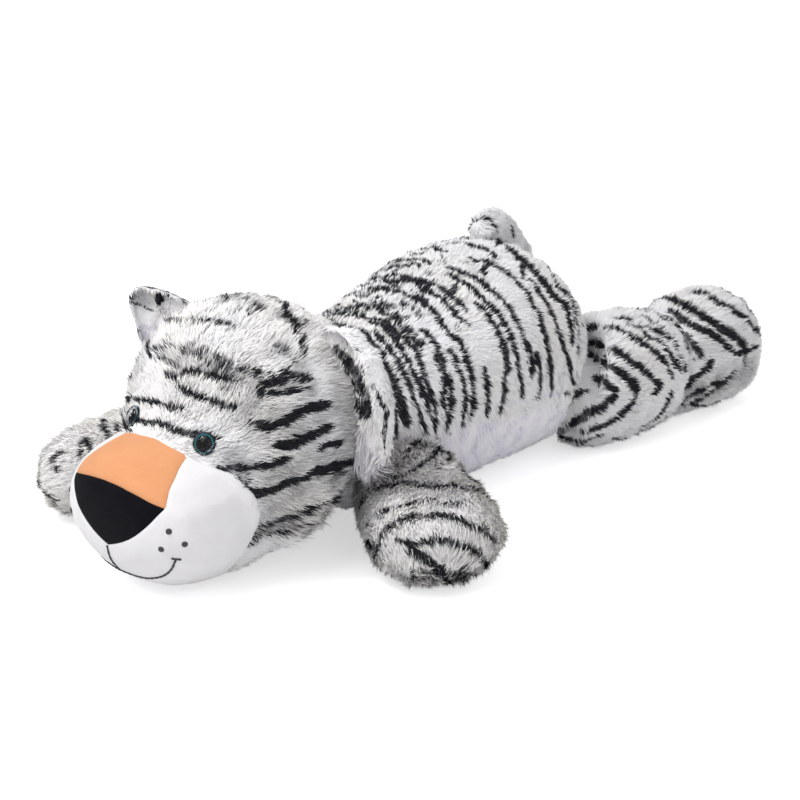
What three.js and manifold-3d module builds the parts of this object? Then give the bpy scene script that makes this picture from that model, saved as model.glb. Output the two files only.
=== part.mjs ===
// Plush tiger that lies on its belly with its legs stretched out: a stuffed soft toy about one metre long.
// Millimetres, +Z up. The tiger faces -Y, its left side is +X and the floor is z = 0.
// The origin is on the floor, under the middle of the belly.
// Each stuffed form is a sewn cover over a filling. A ball of filling sits at the root of each part that moves.

import * as THREE from 'three';
import { mergeVertices } from 'three/addons/utils/BufferGeometryUtils.js';
import Module from 'manifold-3d';

const wasm = await Module();
wasm.setup();

// Cloth, clearances and thread
const PLUSH_WALL = 6; // striped plush, its pile flattened
const SMOOTH_WALL = 3; // short-pile cloth of the muzzle
const FIT_GAP = 0.35; // between pieces that touch
const SWING_GAP = 0.7; // between stuffed forms that swing past each other
const TAIL_GAP = 2; // between the tail and the rump that it brushes over
const WELD_DISTANCE = 0.001; // corners closer than this are one
const FILLING_EASE = 0.6; // what a filling keeps clear of its cover besides the gap
const BULK_GAP = 16; // between a filling and the next form, which is rounder than its bulk
const FLOOR_CUT = 0.5; // how deep the floor flattens each stuffed form
const THREAD_RADIUS = 1.5; // embroidered line
const OVERRUN = 40; // how far a cutter reaches past what it cuts

// Body
const BODY_FRONT_Y = -205;
const BODY_LENGTH = 484;
const BODY_HALF_WIDTH = 150;
const BODY_HEIGHT = 283;

// Head and muzzle
const NECK_BALL_RADIUS = 77;
const NECK_HEIGHT = 112;
const NECK_SETBACK = 36; // from the front of the body back to the neck's pivot
const HEAD_REACH = 271; // from the neck's pivot to the brow's front
const HEAD_HALF_WIDTH = 153;
const HEAD_HEIGHT = 311;
const MUZZLE_JUT = 57; // nose in front of the brow
const MUZZLE_LENGTH = 215;
const MUZZLE_HALF_WIDTH = 114;
const MUZZLE_HEIGHT = 189;

// Nose, bridge and mouth, measured on the front view of the muzzle
const NOSE_WIDTH = 153;
const NOSE_CORNER_HEIGHT = 139;
const NOSE_CREST = 8; // how far its upper edge arches above the corners
const NOSE_DEPTH = 61; // from the corners down to the tip
const BRIDGE_TOP_WIDTH = 116;
const BRIDGE_HEIGHT = 42; // from the nose's corners up to the brow
const MOUTH_LENGTH = 37; // from the nose's tip to the lip
const SMILE_WIDTH = 176;
const SMILE_SAG = 3; // its middle below the lip
const SMILE_RISE = 39; // its corners above the lip
const SMILE_TICK = 7;
const DOT_RADIUS = 3.6;
const DOT_PROUD = 1.4;
const DOT_SPACING = 15;
const DOT_FIELD_ACROSS = 87; // middle of the whisker dots from the middle line
const DOT_FIELD_HEIGHT = 102;

// Eyes
const EYE_ACROSS = 60; // from the middle line
const EYE_HEIGHT = 188;
const EYE_RADIUS = 12.5;
const EYE_DOME = 8.5;
const IRIS_THICKNESS = 1.6;
const PUPIL_RADIUS = 7.4;
const PUPIL_THICKNESS = 1.2;
const SHANK_RADIUS = 3;
const SHANK_LENGTH = 16;
const WASHER_RADIUS = 10;
const WASHER_THICKNESS = 2.4;

// Ears
const EAR_LEFT_LENGTH = 164; // along the head, from the crown to the lobe
const EAR_RIGHT_LENGTH = 112;
const EAR_LEFT_WIDTH = 60; // from the head out to the rim, which is folded over
const EAR_RIGHT_WIDTH = 108; // the right rim lies open
const EAR_CLOTH = 3; // each of its two layers
const EAR_SETBACK = 71; // in front of the neck's pivot
const EAR_LEFT_TOP_ANGLE = 55; // degrees above level at which the ear starts
const EAR_RIGHT_TOP_ANGLE = 43;
const EAR_CUP = 15; // how deep the lining is hollowed
const EAR_LEFT_CURL = 24; // how far the folded rim comes forward
const EAR_RIGHT_CURL = 9;
const EAR_FLAP = [-13, 13];

// Front legs: reach is from the shoulder's pivot to the paw's tip
const SHOULDER_BALL_RADIUS = 45;
const SHOULDER_HEIGHT = 66;
const FRONT_LEG_HEIGHT = 118;
const FRONT_LEFT_REACH = 204;
const FRONT_LEFT_HALF_WIDTH = 84;
const FRONT_LEFT_SPLAY = 60; // degrees from straight ahead
const FRONT_LEFT_BEND = 0; // how far the elbow stands out
const FRONT_RIGHT_REACH = 306;
const FRONT_RIGHT_HALF_WIDTH = 72;
const FRONT_RIGHT_SPLAY = 26;
const FRONT_RIGHT_BEND = 22;

// Hind legs: reach is from the hip's pivot to the ankle's, and from there to the toes
const HIP_BALL_RADIUS = 52;
const HIP_HEIGHT = 76;
const THIGH_REACH = 160;
const THIGH_HALF_WIDTH = 78;
const THIGH_HEIGHT = 168;
const ANKLE_BALL_RADIUS = 54;
const ANKLE_HEIGHT = 72;
const FOOT_REACH = 176;
const FOOT_HALF_WIDTH = 75;
const FOOT_HEIGHT = 162;
const HIND_LEFT_SPLAY = 7; // degrees from straight back
const HIND_RIGHT_SPLAY = 32;

// Tail
const TAIL_RADIUS = 27;
const TAIL_BALL_RADIUS = 20;
const TAIL_ROOT_HEIGHT = 150;
const TAIL_ROOT_SETBACK = 8; // inside the rump's end
const TAIL_LEAN = 84; // how far the tail leans to the tiger's right
const TAIL_CLIMB = 146; // from its root up to where it lies on the rump
const TAIL_RUN = 144; // how far its tip then lies in front of the root

// Ranges of the soft joints, in degrees
const NOD = [0, 20];
const TURN = [-5, 5];
const FRONT_LIFT = [0, 9];
const FRONT_LEFT_SWING = [0, 26];
const FRONT_RIGHT_SWING = [0, 39];
const HIND_LIFT = [0, 13];
const HIND_LEFT_SWING = [0, 22];
const HIND_RIGHT_SWING = [-8, 0];
const ANKLE_FOLD = [0, 13];
const TAIL_LIFT = [0, 14];
const TAIL_WAG = [-13, 13];
const SWEEP_STEP = 13; // between the poses that a clearance is cut for

// Colours, with roughness
const STRIPED_WHITE = { color: 0xdcdad6, roughness: 0.95 };
const BELLY_WHITE = { color: 0xdddbe2, roughness: 0.92 };
const MUZZLE_WHITE = { color: 0xe2dfe6, roughness: 0.85 };
const LINING_WHITE = { color: 0xd5d0dc, roughness: 0.95 };
const PEACH = { color: 0xf0a878, roughness: 0.8 };
const NOSE_BLACK = { color: 0x0c0c0e, roughness: 0.45 };
const THREAD_BLACK = { color: 0x121214, roughness: 0.6 };
const FILLING_WHITE = { color: 0xf2f1ee, roughness: 1 };
const EYE_GLOSS = { color: 0x10181c, roughness: 0.05 };
const IRIS_TEAL = { color: 0x0d4a55, roughness: 0.25 };
const PUPIL_BLACK = { color: 0x050506, roughness: 0.2 };
const WASHER_PLASTIC = { color: 0xd9d7d0, roughness: 0.5 };

// Rings and facets
const BODY_FACETS = { rings: 9, segments: 16 };
const HEAD_FACETS = { rings: 9, segments: 16 };
const MUZZLE_FACETS = { rings: 9, segments: 16 };
const LEG_FACETS = { rings: 7, segments: 12 };
const TAIL_FACETS = { rings: 9, segments: 8 };
const BALL_FACETS = 10;
const SMALL_FACETS = 12;
const THREAD_FACETS = 6;
const SMILE_STEPS = 16;
const MOUTH_STEPS = 6;
const SHORT_STITCH_STEPS = 2;

const UP = new THREE.Vector3(0, 0, 1);
const LEFT = new THREE.Vector3(1, 0, 0);
const BACK = new THREE.Vector3(0, 1, 0);
const toRadians = THREE.MathUtils.degToRad;
const tiger = new THREE.Group();

// Solids

/** A manifold solid of a closed geometry, whose corners are merged first. */
function solid(geometry) {
  const bare = geometry.clone();
  bare.deleteAttribute('normal');
  bare.deleteAttribute('uv');
  const mesh = mergeVertices(bare, WELD_DISTANCE);
  return new wasm.Manifold(new wasm.Mesh({
    numProp: 3,
    vertProperties: new Float32Array(mesh.attributes.position.array),
    triVerts: new Uint32Array(mesh.index.array),
  }));
}

/** The solid as a three.js geometry again. */
function geometryOf(manifold) {
  const mesh = manifold.getMesh();
  const geometry = new THREE.BufferGeometry();
  geometry.setAttribute('position', new THREE.BufferAttribute(mesh.vertProperties, mesh.numProp));
  geometry.setIndex(new THREE.BufferAttribute(mesh.triVerts, 1));
  return geometry;
}

/** Adds one named piece to the tiger. */
function addPiece(name, manifold, finish) {
  const mesh = new THREE.Mesh(geometryOf(manifold), new THREE.MeshStandardMaterial({ metalness: 0, ...finish }));
  mesh.name = name;
  tiger.add(mesh);
}

/** What is left of a solid after a list of cuts. */
function without(piece, cuts) {
  return cuts.reduce((left, cut) => left.subtract(cut), piece);
}

// Lofted forms

/** Rows of numbers drawn through the key rows as a smooth curve, at even steps. */
function smoothRows(keys, count) {
  const rowAt = (index) => keys[THREE.MathUtils.clamp(index, 0, keys.length - 1)];
  return Array.from({ length: count }, (_, step) => {
    const at = step / (count - 1) * (keys.length - 1);
    const index = Math.min(Math.floor(at), keys.length - 2);
    const t = at - index;
    const [before, from, to, after] = [index - 1, index, index + 1, index + 2].map(rowAt);
    return from.map((value, column) => {
      const pull = (to[column] - before[column]) / 2;
      const push = (after[column] - value) / 2;
      const rise = to[column] - value;
      return value + pull * t + (3 * rise - 2 * pull - push) * t ** 2 + (pull + push - 2 * rise) * t ** 3;
    });
  });
}

/** A closed skin through rings of {centre, side, up, half, tall}. A larger square makes boxier halves. */
function loft(rings, segments, [upperSquare, lowerSquare]) {
  const rounded = (value, square) => Math.sign(value) * Math.abs(value) ** (2 / square);
  const points = [];
  for (const { centre, side, up, half, tall } of rings) {
    for (let step = 0; step < segments; step += 1) {
      const angle = step / segments * 2 * Math.PI;
      const square = Math.sin(angle) > 0 ? upperSquare : lowerSquare;
      points.push(centre.clone().addScaledVector(side, rounded(Math.cos(angle), square) * half)
        .addScaledVector(up, rounded(Math.sin(angle), square) * tall));
    }
  }
  const start = points.push(rings[0].centre) - 1;
  const end = points.push(rings[rings.length - 1].centre) - 1;
  const lastRow = (rings.length - 1) * segments;
  const faces = [];
  for (let step = 0; step < segments; step += 1) {
    const next = (step + 1) % segments;
    for (let row = 0; row < lastRow; row += segments) {
      const [a, b] = [row + step, row + next];
      faces.push(a, a + segments, b, b, a + segments, b + segments);
    }
    faces.push(start, step, next, end, lastRow + next, lastRow + step);
  }
  const geometry = new THREE.BufferGeometry().setFromPoints(points);
  geometry.setIndex(faces);
  return geometry;
}

/** The skin moved out by a distance along its corners' normals, or in where the distance is negative. */
function grown(geometry, distance) {
  const moved = geometry.clone();
  moved.computeVertexNormals();
  const { position, normal } = moved.attributes;
  const corner = new THREE.Vector3();
  const outward = new THREE.Vector3();
  for (let index = 0; index < position.count; index += 1) {
    corner.fromBufferAttribute(position, index);
    corner.addScaledVector(outward.fromBufferAttribute(normal, index), distance);
    position.setXYZ(index, ...corner);
  }
  return moved;
}

/** A lying stuffed form. Each share row is [along, aside, half width, top, bottom] of the form's sizes. */
function lyingForm({ root, heading, length, half, height, shares, facets, square, bend = 0 }) {
  const side = new THREE.Vector3().crossVectors(heading, UP);
  const rings = smoothRows(shares, facets.rings).map(([along, aside, width, top, bottom]) => {
    const [low, high] = [bottom * height - FLOOR_CUT, top * height];
    const centre = new THREE.Vector3(root.x, root.y, (low + high) / 2)
      .addScaledVector(heading, along * length).addScaledVector(side, aside * bend);
    return { centre, side, up: UP, half: width * half, tall: (high - low) / 2 };
  });
  return loft(rings, facets.segments, square);
}

/** The same facets, but half as many round a ring. */
function halved({ rings, segments }) {
  return { rings, segments: segments / 2 };
}

/** A lying form as its skin and as a bulk with half its facets, for what lies inside. */
function twinForm(form) {
  return { skin: lyingForm(form), bulk: lyingForm({ ...form, facets: halved(form.facets) }) };
}

/** A ball whose corners lie on its radius, its poles up and down. */
function ball(centre, radius, levelShare = 1) {
  return solid(new THREE.SphereGeometry(radius, BALL_FACETS, BALL_FACETS / 2).rotateX(Math.PI / 2)
    .scale(levelShare, levelShare, 1).translate(...centre));
}

/** A hollow in which the ball can turn about the upright axis alone: it touches at the poles. */
function ballSeat(centre, radius) {
  return ball(centre, radius + FIT_GAP, 1 / Math.cos(Math.PI / BALL_FACETS));
}

/** A hollow that clears the ball however it turns. Its facets face the ball's corners at rest, close to them. */
function ballRoom(centre, radius) {
  const bands = BALL_FACETS / 2 + 1;
  const facetShare = 1 / (Math.cos(Math.PI / BALL_FACETS) * Math.cos(Math.PI / (2 * bands)));
  return solid(new THREE.SphereGeometry((radius + FIT_GAP) * facetShare, BALL_FACETS, bands).rotateX(Math.PI / 2)
    .rotateZ(Math.PI / BALL_FACETS).translate(...centre));
}

// Soft joints: each turn is [axis, range in degrees], about one pivot, the outermost first

/** Evenly spaced angles of a range, rest included. */
function anglesOf([low, high]) {
  const steps = Math.max(1, Math.ceil((high - low) / SWEEP_STEP));
  const angles = Array.from({ length: steps + 1 }, (_, step) => low + (high - low) * step / steps);
  return angles.includes(0) ? angles : [...angles, 0];
}

/** Every pose that a list of turns can take, as matrices. */
function posesOf(pivot, turns) {
  const home = new THREE.Matrix4().makeTranslation(pivot.clone().negate());
  const outer = turns.reduce((poses, [axis, range]) => poses.flatMap((pose) => anglesOf(range)
    .map((angle) => pose.clone().multiply(new THREE.Matrix4().makeRotationAxis(axis, toRadians(angle))))),
  [new THREE.Matrix4().makeTranslation(pivot)]);
  return outer.map((pose) => pose.multiply(home));
}

/** The room that a larger form takes up, as the moving form sees it, over every pose of its joint. */
function sweptRoom(form, pivot, turns, gap = SWING_GAP) {
  const wide = grown(form, gap);
  return wasm.Manifold.union(posesOf(pivot, turns).map((pose) => solid(wide.clone().applyMatrix4(pose.invert()))));
}

/** The form turned about the neck towards one side as far as the head turns. */
function headTurned(form, mirror) {
  const angle = mirror > 0 ? TURN[1] : TURN[0];
  const [pose] = posesOf(neckPivot, [[UP, [angle, angle]]]);
  return form.clone().applyMatrix4(pose);
}

/** What the floor takes off. */
const floorSlab = solid(new THREE.BoxGeometry(4 * BODY_LENGTH, 4 * BODY_LENGTH, BODY_HEIGHT)
  .translate(0, 0, -BODY_HEIGHT / 2));

/** The cover of a stuffed form, open where its larger neighbours cut it. */
function coverOf(form, wall, cuts) {
  return without(solid(form.skin), [solid(grown(form.skin, -wall)), ...cuts, floorSlab]);
}

/** The filling that a cover holds. */
function fillingOf(form, wall, cuts) {
  return without(solid(grown(form.bulk, -wall - FIT_GAP - FILLING_EASE)), cuts);
}

// Body

const HEAD_DIRECTION = BACK.clone().negate();
const bodyRoot = new THREE.Vector3(0, BODY_FRONT_Y, 0);
const neckPivot = new THREE.Vector3(0, BODY_FRONT_Y + NECK_SETBACK, NECK_HEIGHT);
const shoulderShares = { across: 0.7, along: 0.174 };
const hipShares = { across: 0.68, along: 0.92 };

/** The pivot of a leg: mirror is 1 on the tiger's left and -1 on its right. */
function legPivot({ across, along }, height, mirror) {
  return new THREE.Vector3(mirror * across * BODY_HALF_WIDTH, BODY_FRONT_Y + along * BODY_LENGTH, height);
}

const shoulderPivots = [1, -1].map((mirror) => legPivot(shoulderShares, SHOULDER_HEIGHT, mirror));
const hipPivots = [1, -1].map((mirror) => legPivot(hipShares, HIP_HEIGHT, mirror));
const tailPivot = new THREE.Vector3(-TAIL_LEAN / 4, BODY_FRONT_Y + BODY_LENGTH - TAIL_ROOT_SETBACK, TAIL_ROOT_HEIGHT);

const bodyForm = twinForm({
  root: bodyRoot, heading: BACK, length: BODY_LENGTH, half: BODY_HALF_WIDTH, height: BODY_HEIGHT,
  facets: BODY_FACETS, square: [2.5, 2.7],
  shares: [
    [0, 0, 0.3, 0.58, 0.24],
    [0.03, 0, 0.56, 0.67, 0.12],
    [0.12, 0, 0.75, 0.77, 0.03],
    [0.32, 0, 0.87, 0.87, 0],
    [0.52, 0, 0.95, 0.95, 0],
    [0.7, 0, 1, 1, 0],
    [0.84, 0, 0.96, 0.96, 0],
    [0.93, 0, 0.81, 0.84, 0.02],
    [0.98, 0, 0.56, 0.69, 0.12],
    [1, 0, 0.25, 0.58, 0.26],
  ],
});

/** The space under the seam between back and belly, from flank to flank. Rows are shares of length and height. */
function bellySpace(margin) {
  const seamShares = [[-0.1, 0.52], [0.17, 0.49], [0.46, 0.43], [0.74, 0.35], [0.9, 0.33], [0.93, 0.22], [0.93, -0.2],
    [-0.1, -0.2]];
  const outline = seamShares.map(([along, up]) => new THREE.Vector2(
    BODY_FRONT_Y + along * BODY_LENGTH + (along > 0.5 ? margin : 0), up * BODY_HEIGHT + margin));
  return solid(new THREE.ExtrudeGeometry(new THREE.Shape(outline), { depth: 4 * BODY_HALF_WIDTH, bevelEnabled: false })
    .rotateY(Math.PI / 2).rotateX(Math.PI / 2).translate(-2 * BODY_HALF_WIDTH, 0, 0));
}

/** Back cover, belly cover and filling, with sockets for all that is sewn to the body. */
function addBody() {
  const sockets = [
    ballSeat(neckPivot, NECK_BALL_RADIUS),
    ...shoulderPivots.map((pivot) => ballSeat(pivot, SHOULDER_BALL_RADIUS)),
    ...hipPivots.map((pivot) => ballSeat(pivot, HIP_BALL_RADIUS)),
    ballSeat(tailPivot, TAIL_BALL_RADIUS),
  ];
  const cover = coverOf(bodyForm, PLUSH_WALL, sockets);
  addPiece('back_cover', cover.subtract(bellySpace(FIT_GAP)), STRIPED_WHITE);
  addPiece('belly_cover', cover.intersect(bellySpace(0)), BELLY_WHITE);
  addPiece('body_filling', fillingOf(bodyForm, PLUSH_WALL, sockets), FILLING_WHITE);
}

// Head

const headForm = twinForm({
  root: neckPivot, heading: HEAD_DIRECTION, length: HEAD_REACH, half: HEAD_HALF_WIDTH, height: HEAD_HEIGHT,
  facets: HEAD_FACETS, square: [2.2, 1.95],
  shares: [
    [-0.128, 0, 0.34, 0.66, 0.36],
    [-0.065, 0, 0.62, 0.8, 0.27],
    [0.06, 0, 0.85, 0.92, 0.2],
    [0.248, 0, 0.98, 1, 0.13],
    [0.447, 0, 1, 1, 0.075],
    [0.655, 0, 0.91, 0.92, 0.04],
    [0.833, 0, 0.66, 0.665, 0.06],
    [0.948, 0, 0.44, 0.51, 0.14],
    [1, 0, 0.2, 0.42, 0.22],
  ],
});

const muzzleFrontY = neckPivot.y - HEAD_REACH - MUZZLE_JUT;
const muzzleForm = twinForm({
  root: new THREE.Vector3(0, muzzleFrontY + MUZZLE_LENGTH, 0), heading: HEAD_DIRECTION, length: MUZZLE_LENGTH,
  half: MUZZLE_HALF_WIDTH, height: MUZZLE_HEIGHT, facets: MUZZLE_FACETS, square: [2.3, 1.95],
  shares: [
    [0, 0, 0.5, 0.75, 0.25],
    [0.1, 0, 0.82, 0.92, 0.06],
    [0.3, 0, 0.97, 0.99, 0],
    [0.5, 0, 1, 1, 0],
    [0.65, 0, 0.98, 0.98, 0.03],
    [0.78, 0, 0.93, 0.95, 0.085],
    [0.87, 0, 0.85, 0.9, 0.16],
    [0.945, 0, 0.69, 0.83, 0.25],
    [0.985, 0, 0.46, 0.73, 0.33],
    [1, 0, 0.2, 0.6, 0.44],
  ],
});

/** An outline drawn in or out by a distance, as mitred corners. */
function moveOutline(points, distance) {
  return points.map((point, index) => {
    const before = points.at(index - 1);
    const after = points[(index + 1) % points.length];
    const [into, out] = [point.clone().sub(before).normalize(), after.clone().sub(point).normalize()];
    const mitre = into.clone().add(out).normalize();
    const outward = new THREE.Vector2(mitre.y, -mitre.x);
    return point.clone().addScaledVector(outward, distance / Math.max(mitre.dot(out), 0.5));
  });
}

/** A prism of a front-view outline, through the whole muzzle. */
function throughMuzzle(outline) {
  const depth = MUZZLE_LENGTH + 2 * OVERRUN;
  return solid(new THREE.ExtrudeGeometry(new THREE.Shape(outline), { depth, bevelEnabled: false })
    .rotateX(Math.PI / 2).translate(0, muzzleFrontY - OVERRUN + depth, 0));
}

/** The arched edge between nose and bridge, from the right corner to the left one. */
function noseEdge() {
  const [half, corner] = [NOSE_WIDTH / 2, NOSE_CORNER_HEIGHT];
  return new THREE.QuadraticBezierCurve(new THREE.Vector2(-half, corner),
    new THREE.Vector2(0, corner + 2 * NOSE_CREST), new THREE.Vector2(half, corner)).getPoints(6);
}

/** The black pad: a three-cornered shape with full sides, its tip down. */
function noseOutline() {
  const [half, corner, bulgeShare] = [NOSE_WIDTH / 2, NOSE_CORNER_HEIGHT, 0.62];
  const tip = new THREE.Vector2(0, corner - NOSE_DEPTH);
  const flank = (mirror) => new THREE.QuadraticBezierCurve(new THREE.Vector2(mirror * half, corner),
    new THREE.Vector2(mirror * half * bulgeShare, corner - NOSE_DEPTH * bulgeShare), tip).getPoints(5);
  const leftSide = flank(1).slice(1);
  const rightSide = flank(-1).slice(1, -1).reverse();
  return [...noseEdge(), ...leftSide, ...rightSide].reverse();
}

/** The peach bridge, from the nose up to the brow. */
function bridgeOutline() {
  const [half, top] = [BRIDGE_TOP_WIDTH / 2, NOSE_CORNER_HEIGHT + BRIDGE_HEIGHT];
  const above = top + OVERRUN;
  return [...noseEdge(), new THREE.Vector2(half, top), new THREE.Vector2(half, above),
    new THREE.Vector2(-half, above), new THREE.Vector2(-half, top)];
}

/** Where a straight look at a form meets its skin: the point and the facet's normal. */
function lookAt(form, from, direction) {
  const caster = new THREE.Raycaster(from, direction.clone().normalize());
  const [hit] = caster.intersectObject(new THREE.Mesh(form, new THREE.MeshStandardMaterial({ side: THREE.DoubleSide })));
  return { point: hit.point, normal: hit.face.normal };
}

/** A point of the muzzle's skin, by its place on the front view. */
function onMuzzle(across, height) {
  return lookAt(muzzleForm.skin, new THREE.Vector3(across, muzzleFrontY - OVERRUN, height), BACK);
}

/** A line of thread laid over the muzzle through front-view points. */
function stitchedLine(points, steps) {
  const middle = new THREE.Vector3(0, muzzleFrontY + MUZZLE_HALF_WIDTH, MUZZLE_HEIGHT / 2);
  const lie = THREAD_RADIUS + FIT_GAP;
  const path = new THREE.CatmullRomCurve3(points.map(([across, height]) => {
    const { point } = onMuzzle(across, height);
    return point.addScaledVector(point.clone().sub(middle).normalize(), lie);
  }));
  const section = new THREE.Shape().absarc(0, 0, THREAD_RADIUS, 0, 2 * Math.PI);
  return solid(new THREE.ExtrudeGeometry(section,
    { steps, curveSegments: THREAD_FACETS / 2, extrudePath: path, bevelEnabled: false }));
}

/** Mouth line, smile with its ticks, and whisker dots, all lying on the muzzle. */
function addStitching(skin) {
  const lip = NOSE_CORNER_HEIGHT - NOSE_DEPTH - MOUTH_LENGTH;
  const half = SMILE_WIDTH / 2;
  const mouthShares = [1, 0.75, 0.5, 0.25, 0];
  const line = stitchedLine(mouthShares.map((up) => [0, lip + up * (MOUTH_LENGTH - THREAD_RADIUS)]), MOUTH_STEPS);
  const halfSmileShares = [[0.2, -1], [0.42, -0.6], [0.56, 0.05], [0.72, 0.23], [0.84, 0.45], [0.93, 0.7], [1, 1]];
  const halfSmile = halfSmileShares.map(([across, up]) => [across * half, lip + up * (up > 0 ? SMILE_RISE : SMILE_SAG)]);
  const otherHalf = halfSmile.map(([across, height]) => [-across, height]).reverse();
  const smile = stitchedLine([...otherHalf, [0, lip], ...halfSmile], SMILE_STEPS);
  const ticks = [1, -1].map((mirror) => stitchedLine([-1, 1].map((end) => [
    mirror * (half + end * SMILE_TICK / 2), lip + SMILE_RISE]), SHORT_STITCH_STEPS));
  addPiece('smile_stitch', without(wasm.Manifold.union([smile, ...ticks]), [skin]), THREAD_BLACK);
  const smileRoom = solid(new THREE.BoxGeometry(half, 2 * MUZZLE_LENGTH, 2 * (THREAD_RADIUS + FIT_GAP))
    .translate(0, muzzleFrontY, lip));
  addPiece('mouth_stitch', without(line, [skin, smileRoom]), THREAD_BLACK);
  const dotShares = [[-0.13, 0.87], [-0.63, -0.6], [0.67, -0.2]];
  for (const [sideName, mirror] of [['left', 1], ['right', -1]]) {
    dotShares.forEach(([across, up], index) => {
      const place = onMuzzle(mirror * (DOT_FIELD_ACROSS + across * DOT_SPACING), DOT_FIELD_HEIGHT + up * DOT_SPACING);
      const dot = new THREE.SphereGeometry(DOT_RADIUS, SMALL_FACETS / 2, SMALL_FACETS / 2)
        .scale(1, DOT_PROUD / DOT_RADIUS, 1)
        .applyQuaternion(new THREE.Quaternion().setFromUnitVectors(BACK, place.normal)).translate(...place.point);
      addPiece(`whisker_dot_${sideName}_${index + 1}`, without(solid(dot), [skin]), THREAD_BLACK);
    });
  }
}

/** Head cover and filling, muzzle, bridge and nose. */
function addHead(eyePlaces) {
  const turns = [[UP, TURN], [LEFT.clone().negate(), NOD]];
  const socket = ballRoom(neckPivot, NECK_BALL_RADIUS);
  const fillingCuts = [sweptRoom(bodyForm.bulk, neckPivot, turns, BULK_GAP), socket];
  const muzzleRoom = solid(grown(muzzleForm.skin, FIT_GAP));
  const headRoom = solid(grown(headForm.skin, FIT_GAP));
  const eyeHoles = eyePlaces.map(eyeHole);
  const washerRooms = eyePlaces.map(washerRoom);
  addPiece('neck_filling', ball(neckPivot, NECK_BALL_RADIUS), FILLING_WHITE);
  addPiece('head_cover', coverOf(headForm, PLUSH_WALL,
    [sweptRoom(bodyForm.skin, neckPivot, turns), socket, muzzleRoom, ...eyeHoles, ...washerRooms]), STRIPED_WHITE);
  const muzzleFilling = fillingOf(muzzleForm, SMOOTH_WALL, []);
  const headFilling = fillingOf(headForm, PLUSH_WALL, []).add(muzzleFilling);
  addPiece('head_filling', without(headFilling, [...fillingCuts, ...eyeHoles, ...washerRooms]), FILLING_WHITE);
  const muzzle = coverOf(muzzleForm, SMOOTH_WALL, [headRoom]);
  const nose = noseOutline();
  const bridge = bridgeOutline();
  addPiece('nose_pad', muzzle.intersect(throughMuzzle(moveOutline(nose, -FIT_GAP))), NOSE_BLACK);
  const bridgePanel = muzzle.intersect(throughMuzzle(moveOutline(bridge, -FIT_GAP)));
  addPiece('nose_bridge', bridgePanel, PEACH);
  addPiece('muzzle_cover', without(muzzle, [throughMuzzle(nose), throughMuzzle(bridge)]), MUZZLE_WHITE);
  addStitching(solid(grown(muzzleForm.skin, FIT_GAP)));
}

// Eyes: a domed lens over pupil and iris, on a shank that a washer holds from inside the cover

/** Where an eye sits: a frame whose Z axis leaves the head. */
function eyePlace(mirror) {
  const from = new THREE.Vector3(EYE_ACROSS, muzzleFrontY - OVERRUN, EYE_HEIGHT);
  const { point, normal } = lookAt(headForm.skin, from, BACK);
  const flip = new THREE.Vector3(mirror, 1, 1);
  const turn = new THREE.Quaternion().setFromUnitVectors(UP, normal.multiply(flip));
  return new THREE.Matrix4().compose(point.multiply(flip), turn, new THREE.Vector3(1, 1, 1));
}

/** A turned solid from a profile of [radius, height] pairs, set at a place. */
function turnedAt(place, profile, facets = SMALL_FACETS) {
  const points = profile.map(([radius, height]) => new THREE.Vector2(radius, height));
  return solid(new THREE.LatheGeometry(points, facets).rotateX(Math.PI / 2).applyMatrix4(place));
}

/** A disc or post between two heights. */
function discAt(place, radius, low, high, facets = SMALL_FACETS) {
  return turnedAt(place, [[0, low], [radius, low], [radius, high], [0, high]], facets);
}

/** The hole that the shank needs through cover and filling. */
function eyeHole(place) {
  return discAt(place, SHANK_RADIUS + FIT_GAP, -SHANK_LENGTH - FIT_GAP, OVERRUN, SMALL_FACETS / 2);
}

/** The flat seat for the washer on the inside of the cover, and its room in the filling. */
function washerRoom(place) {
  const seat = -PLUSH_WALL + FIT_GAP;
  return discAt(place, WASHER_RADIUS + FIT_GAP, seat - WASHER_THICKNESS - 3 * FIT_GAP, seat);
}

/** The domed lens, hollowed for the pupil. */
function lensAt(place, base) {
  const room = base + PUPIL_THICKNESS + FIT_GAP;
  const dome = Array.from({ length: 7 }, (_, step) => {
    const angle = step / 6 * Math.PI / 2;
    return [EYE_RADIUS * Math.cos(angle), base + EYE_DOME * Math.sin(angle)];
  });
  const inner = PUPIL_RADIUS + FIT_GAP;
  return turnedAt(place, [[0, room], [inner, room], [inner, base], ...dome.slice(0, -1), [0, base + EYE_DOME]]);
}

/** One eye with all that holds it. */
function addEye(sideName, place) {
  const irisTop = FIT_GAP + IRIS_THICKNESS;
  const washerTop = -PLUSH_WALL;
  addPiece(`eye_${sideName}_iris`, discAt(place, EYE_RADIUS, FIT_GAP, irisTop), IRIS_TEAL);
  addPiece(`eye_${sideName}_pupil`,
    discAt(place, PUPIL_RADIUS, irisTop + FIT_GAP, irisTop + FIT_GAP + PUPIL_THICKNESS), PUPIL_BLACK);
  addPiece(`eye_${sideName}_lens`, lensAt(place, irisTop + FIT_GAP), EYE_GLOSS);
  addPiece(`eye_${sideName}_shank`, discAt(place, SHANK_RADIUS, -SHANK_LENGTH, 0, SMALL_FACETS / 2), NOSE_BLACK);
  const washer = discAt(place, WASHER_RADIUS, washerTop - WASHER_THICKNESS, washerTop)
    .subtract(discAt(place, SHANK_RADIUS + FIT_GAP, washerTop - OVERRUN, OVERRUN, SMALL_FACETS / 2));
  addPiece(`eye_${sideName}_washer`, washer, WASHER_PLASTIC);
}

// Ears: a striped back and a white lining, cupped forward, the rim folded over

const earY = neckPivot.y - EAR_SETBACK;

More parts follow.
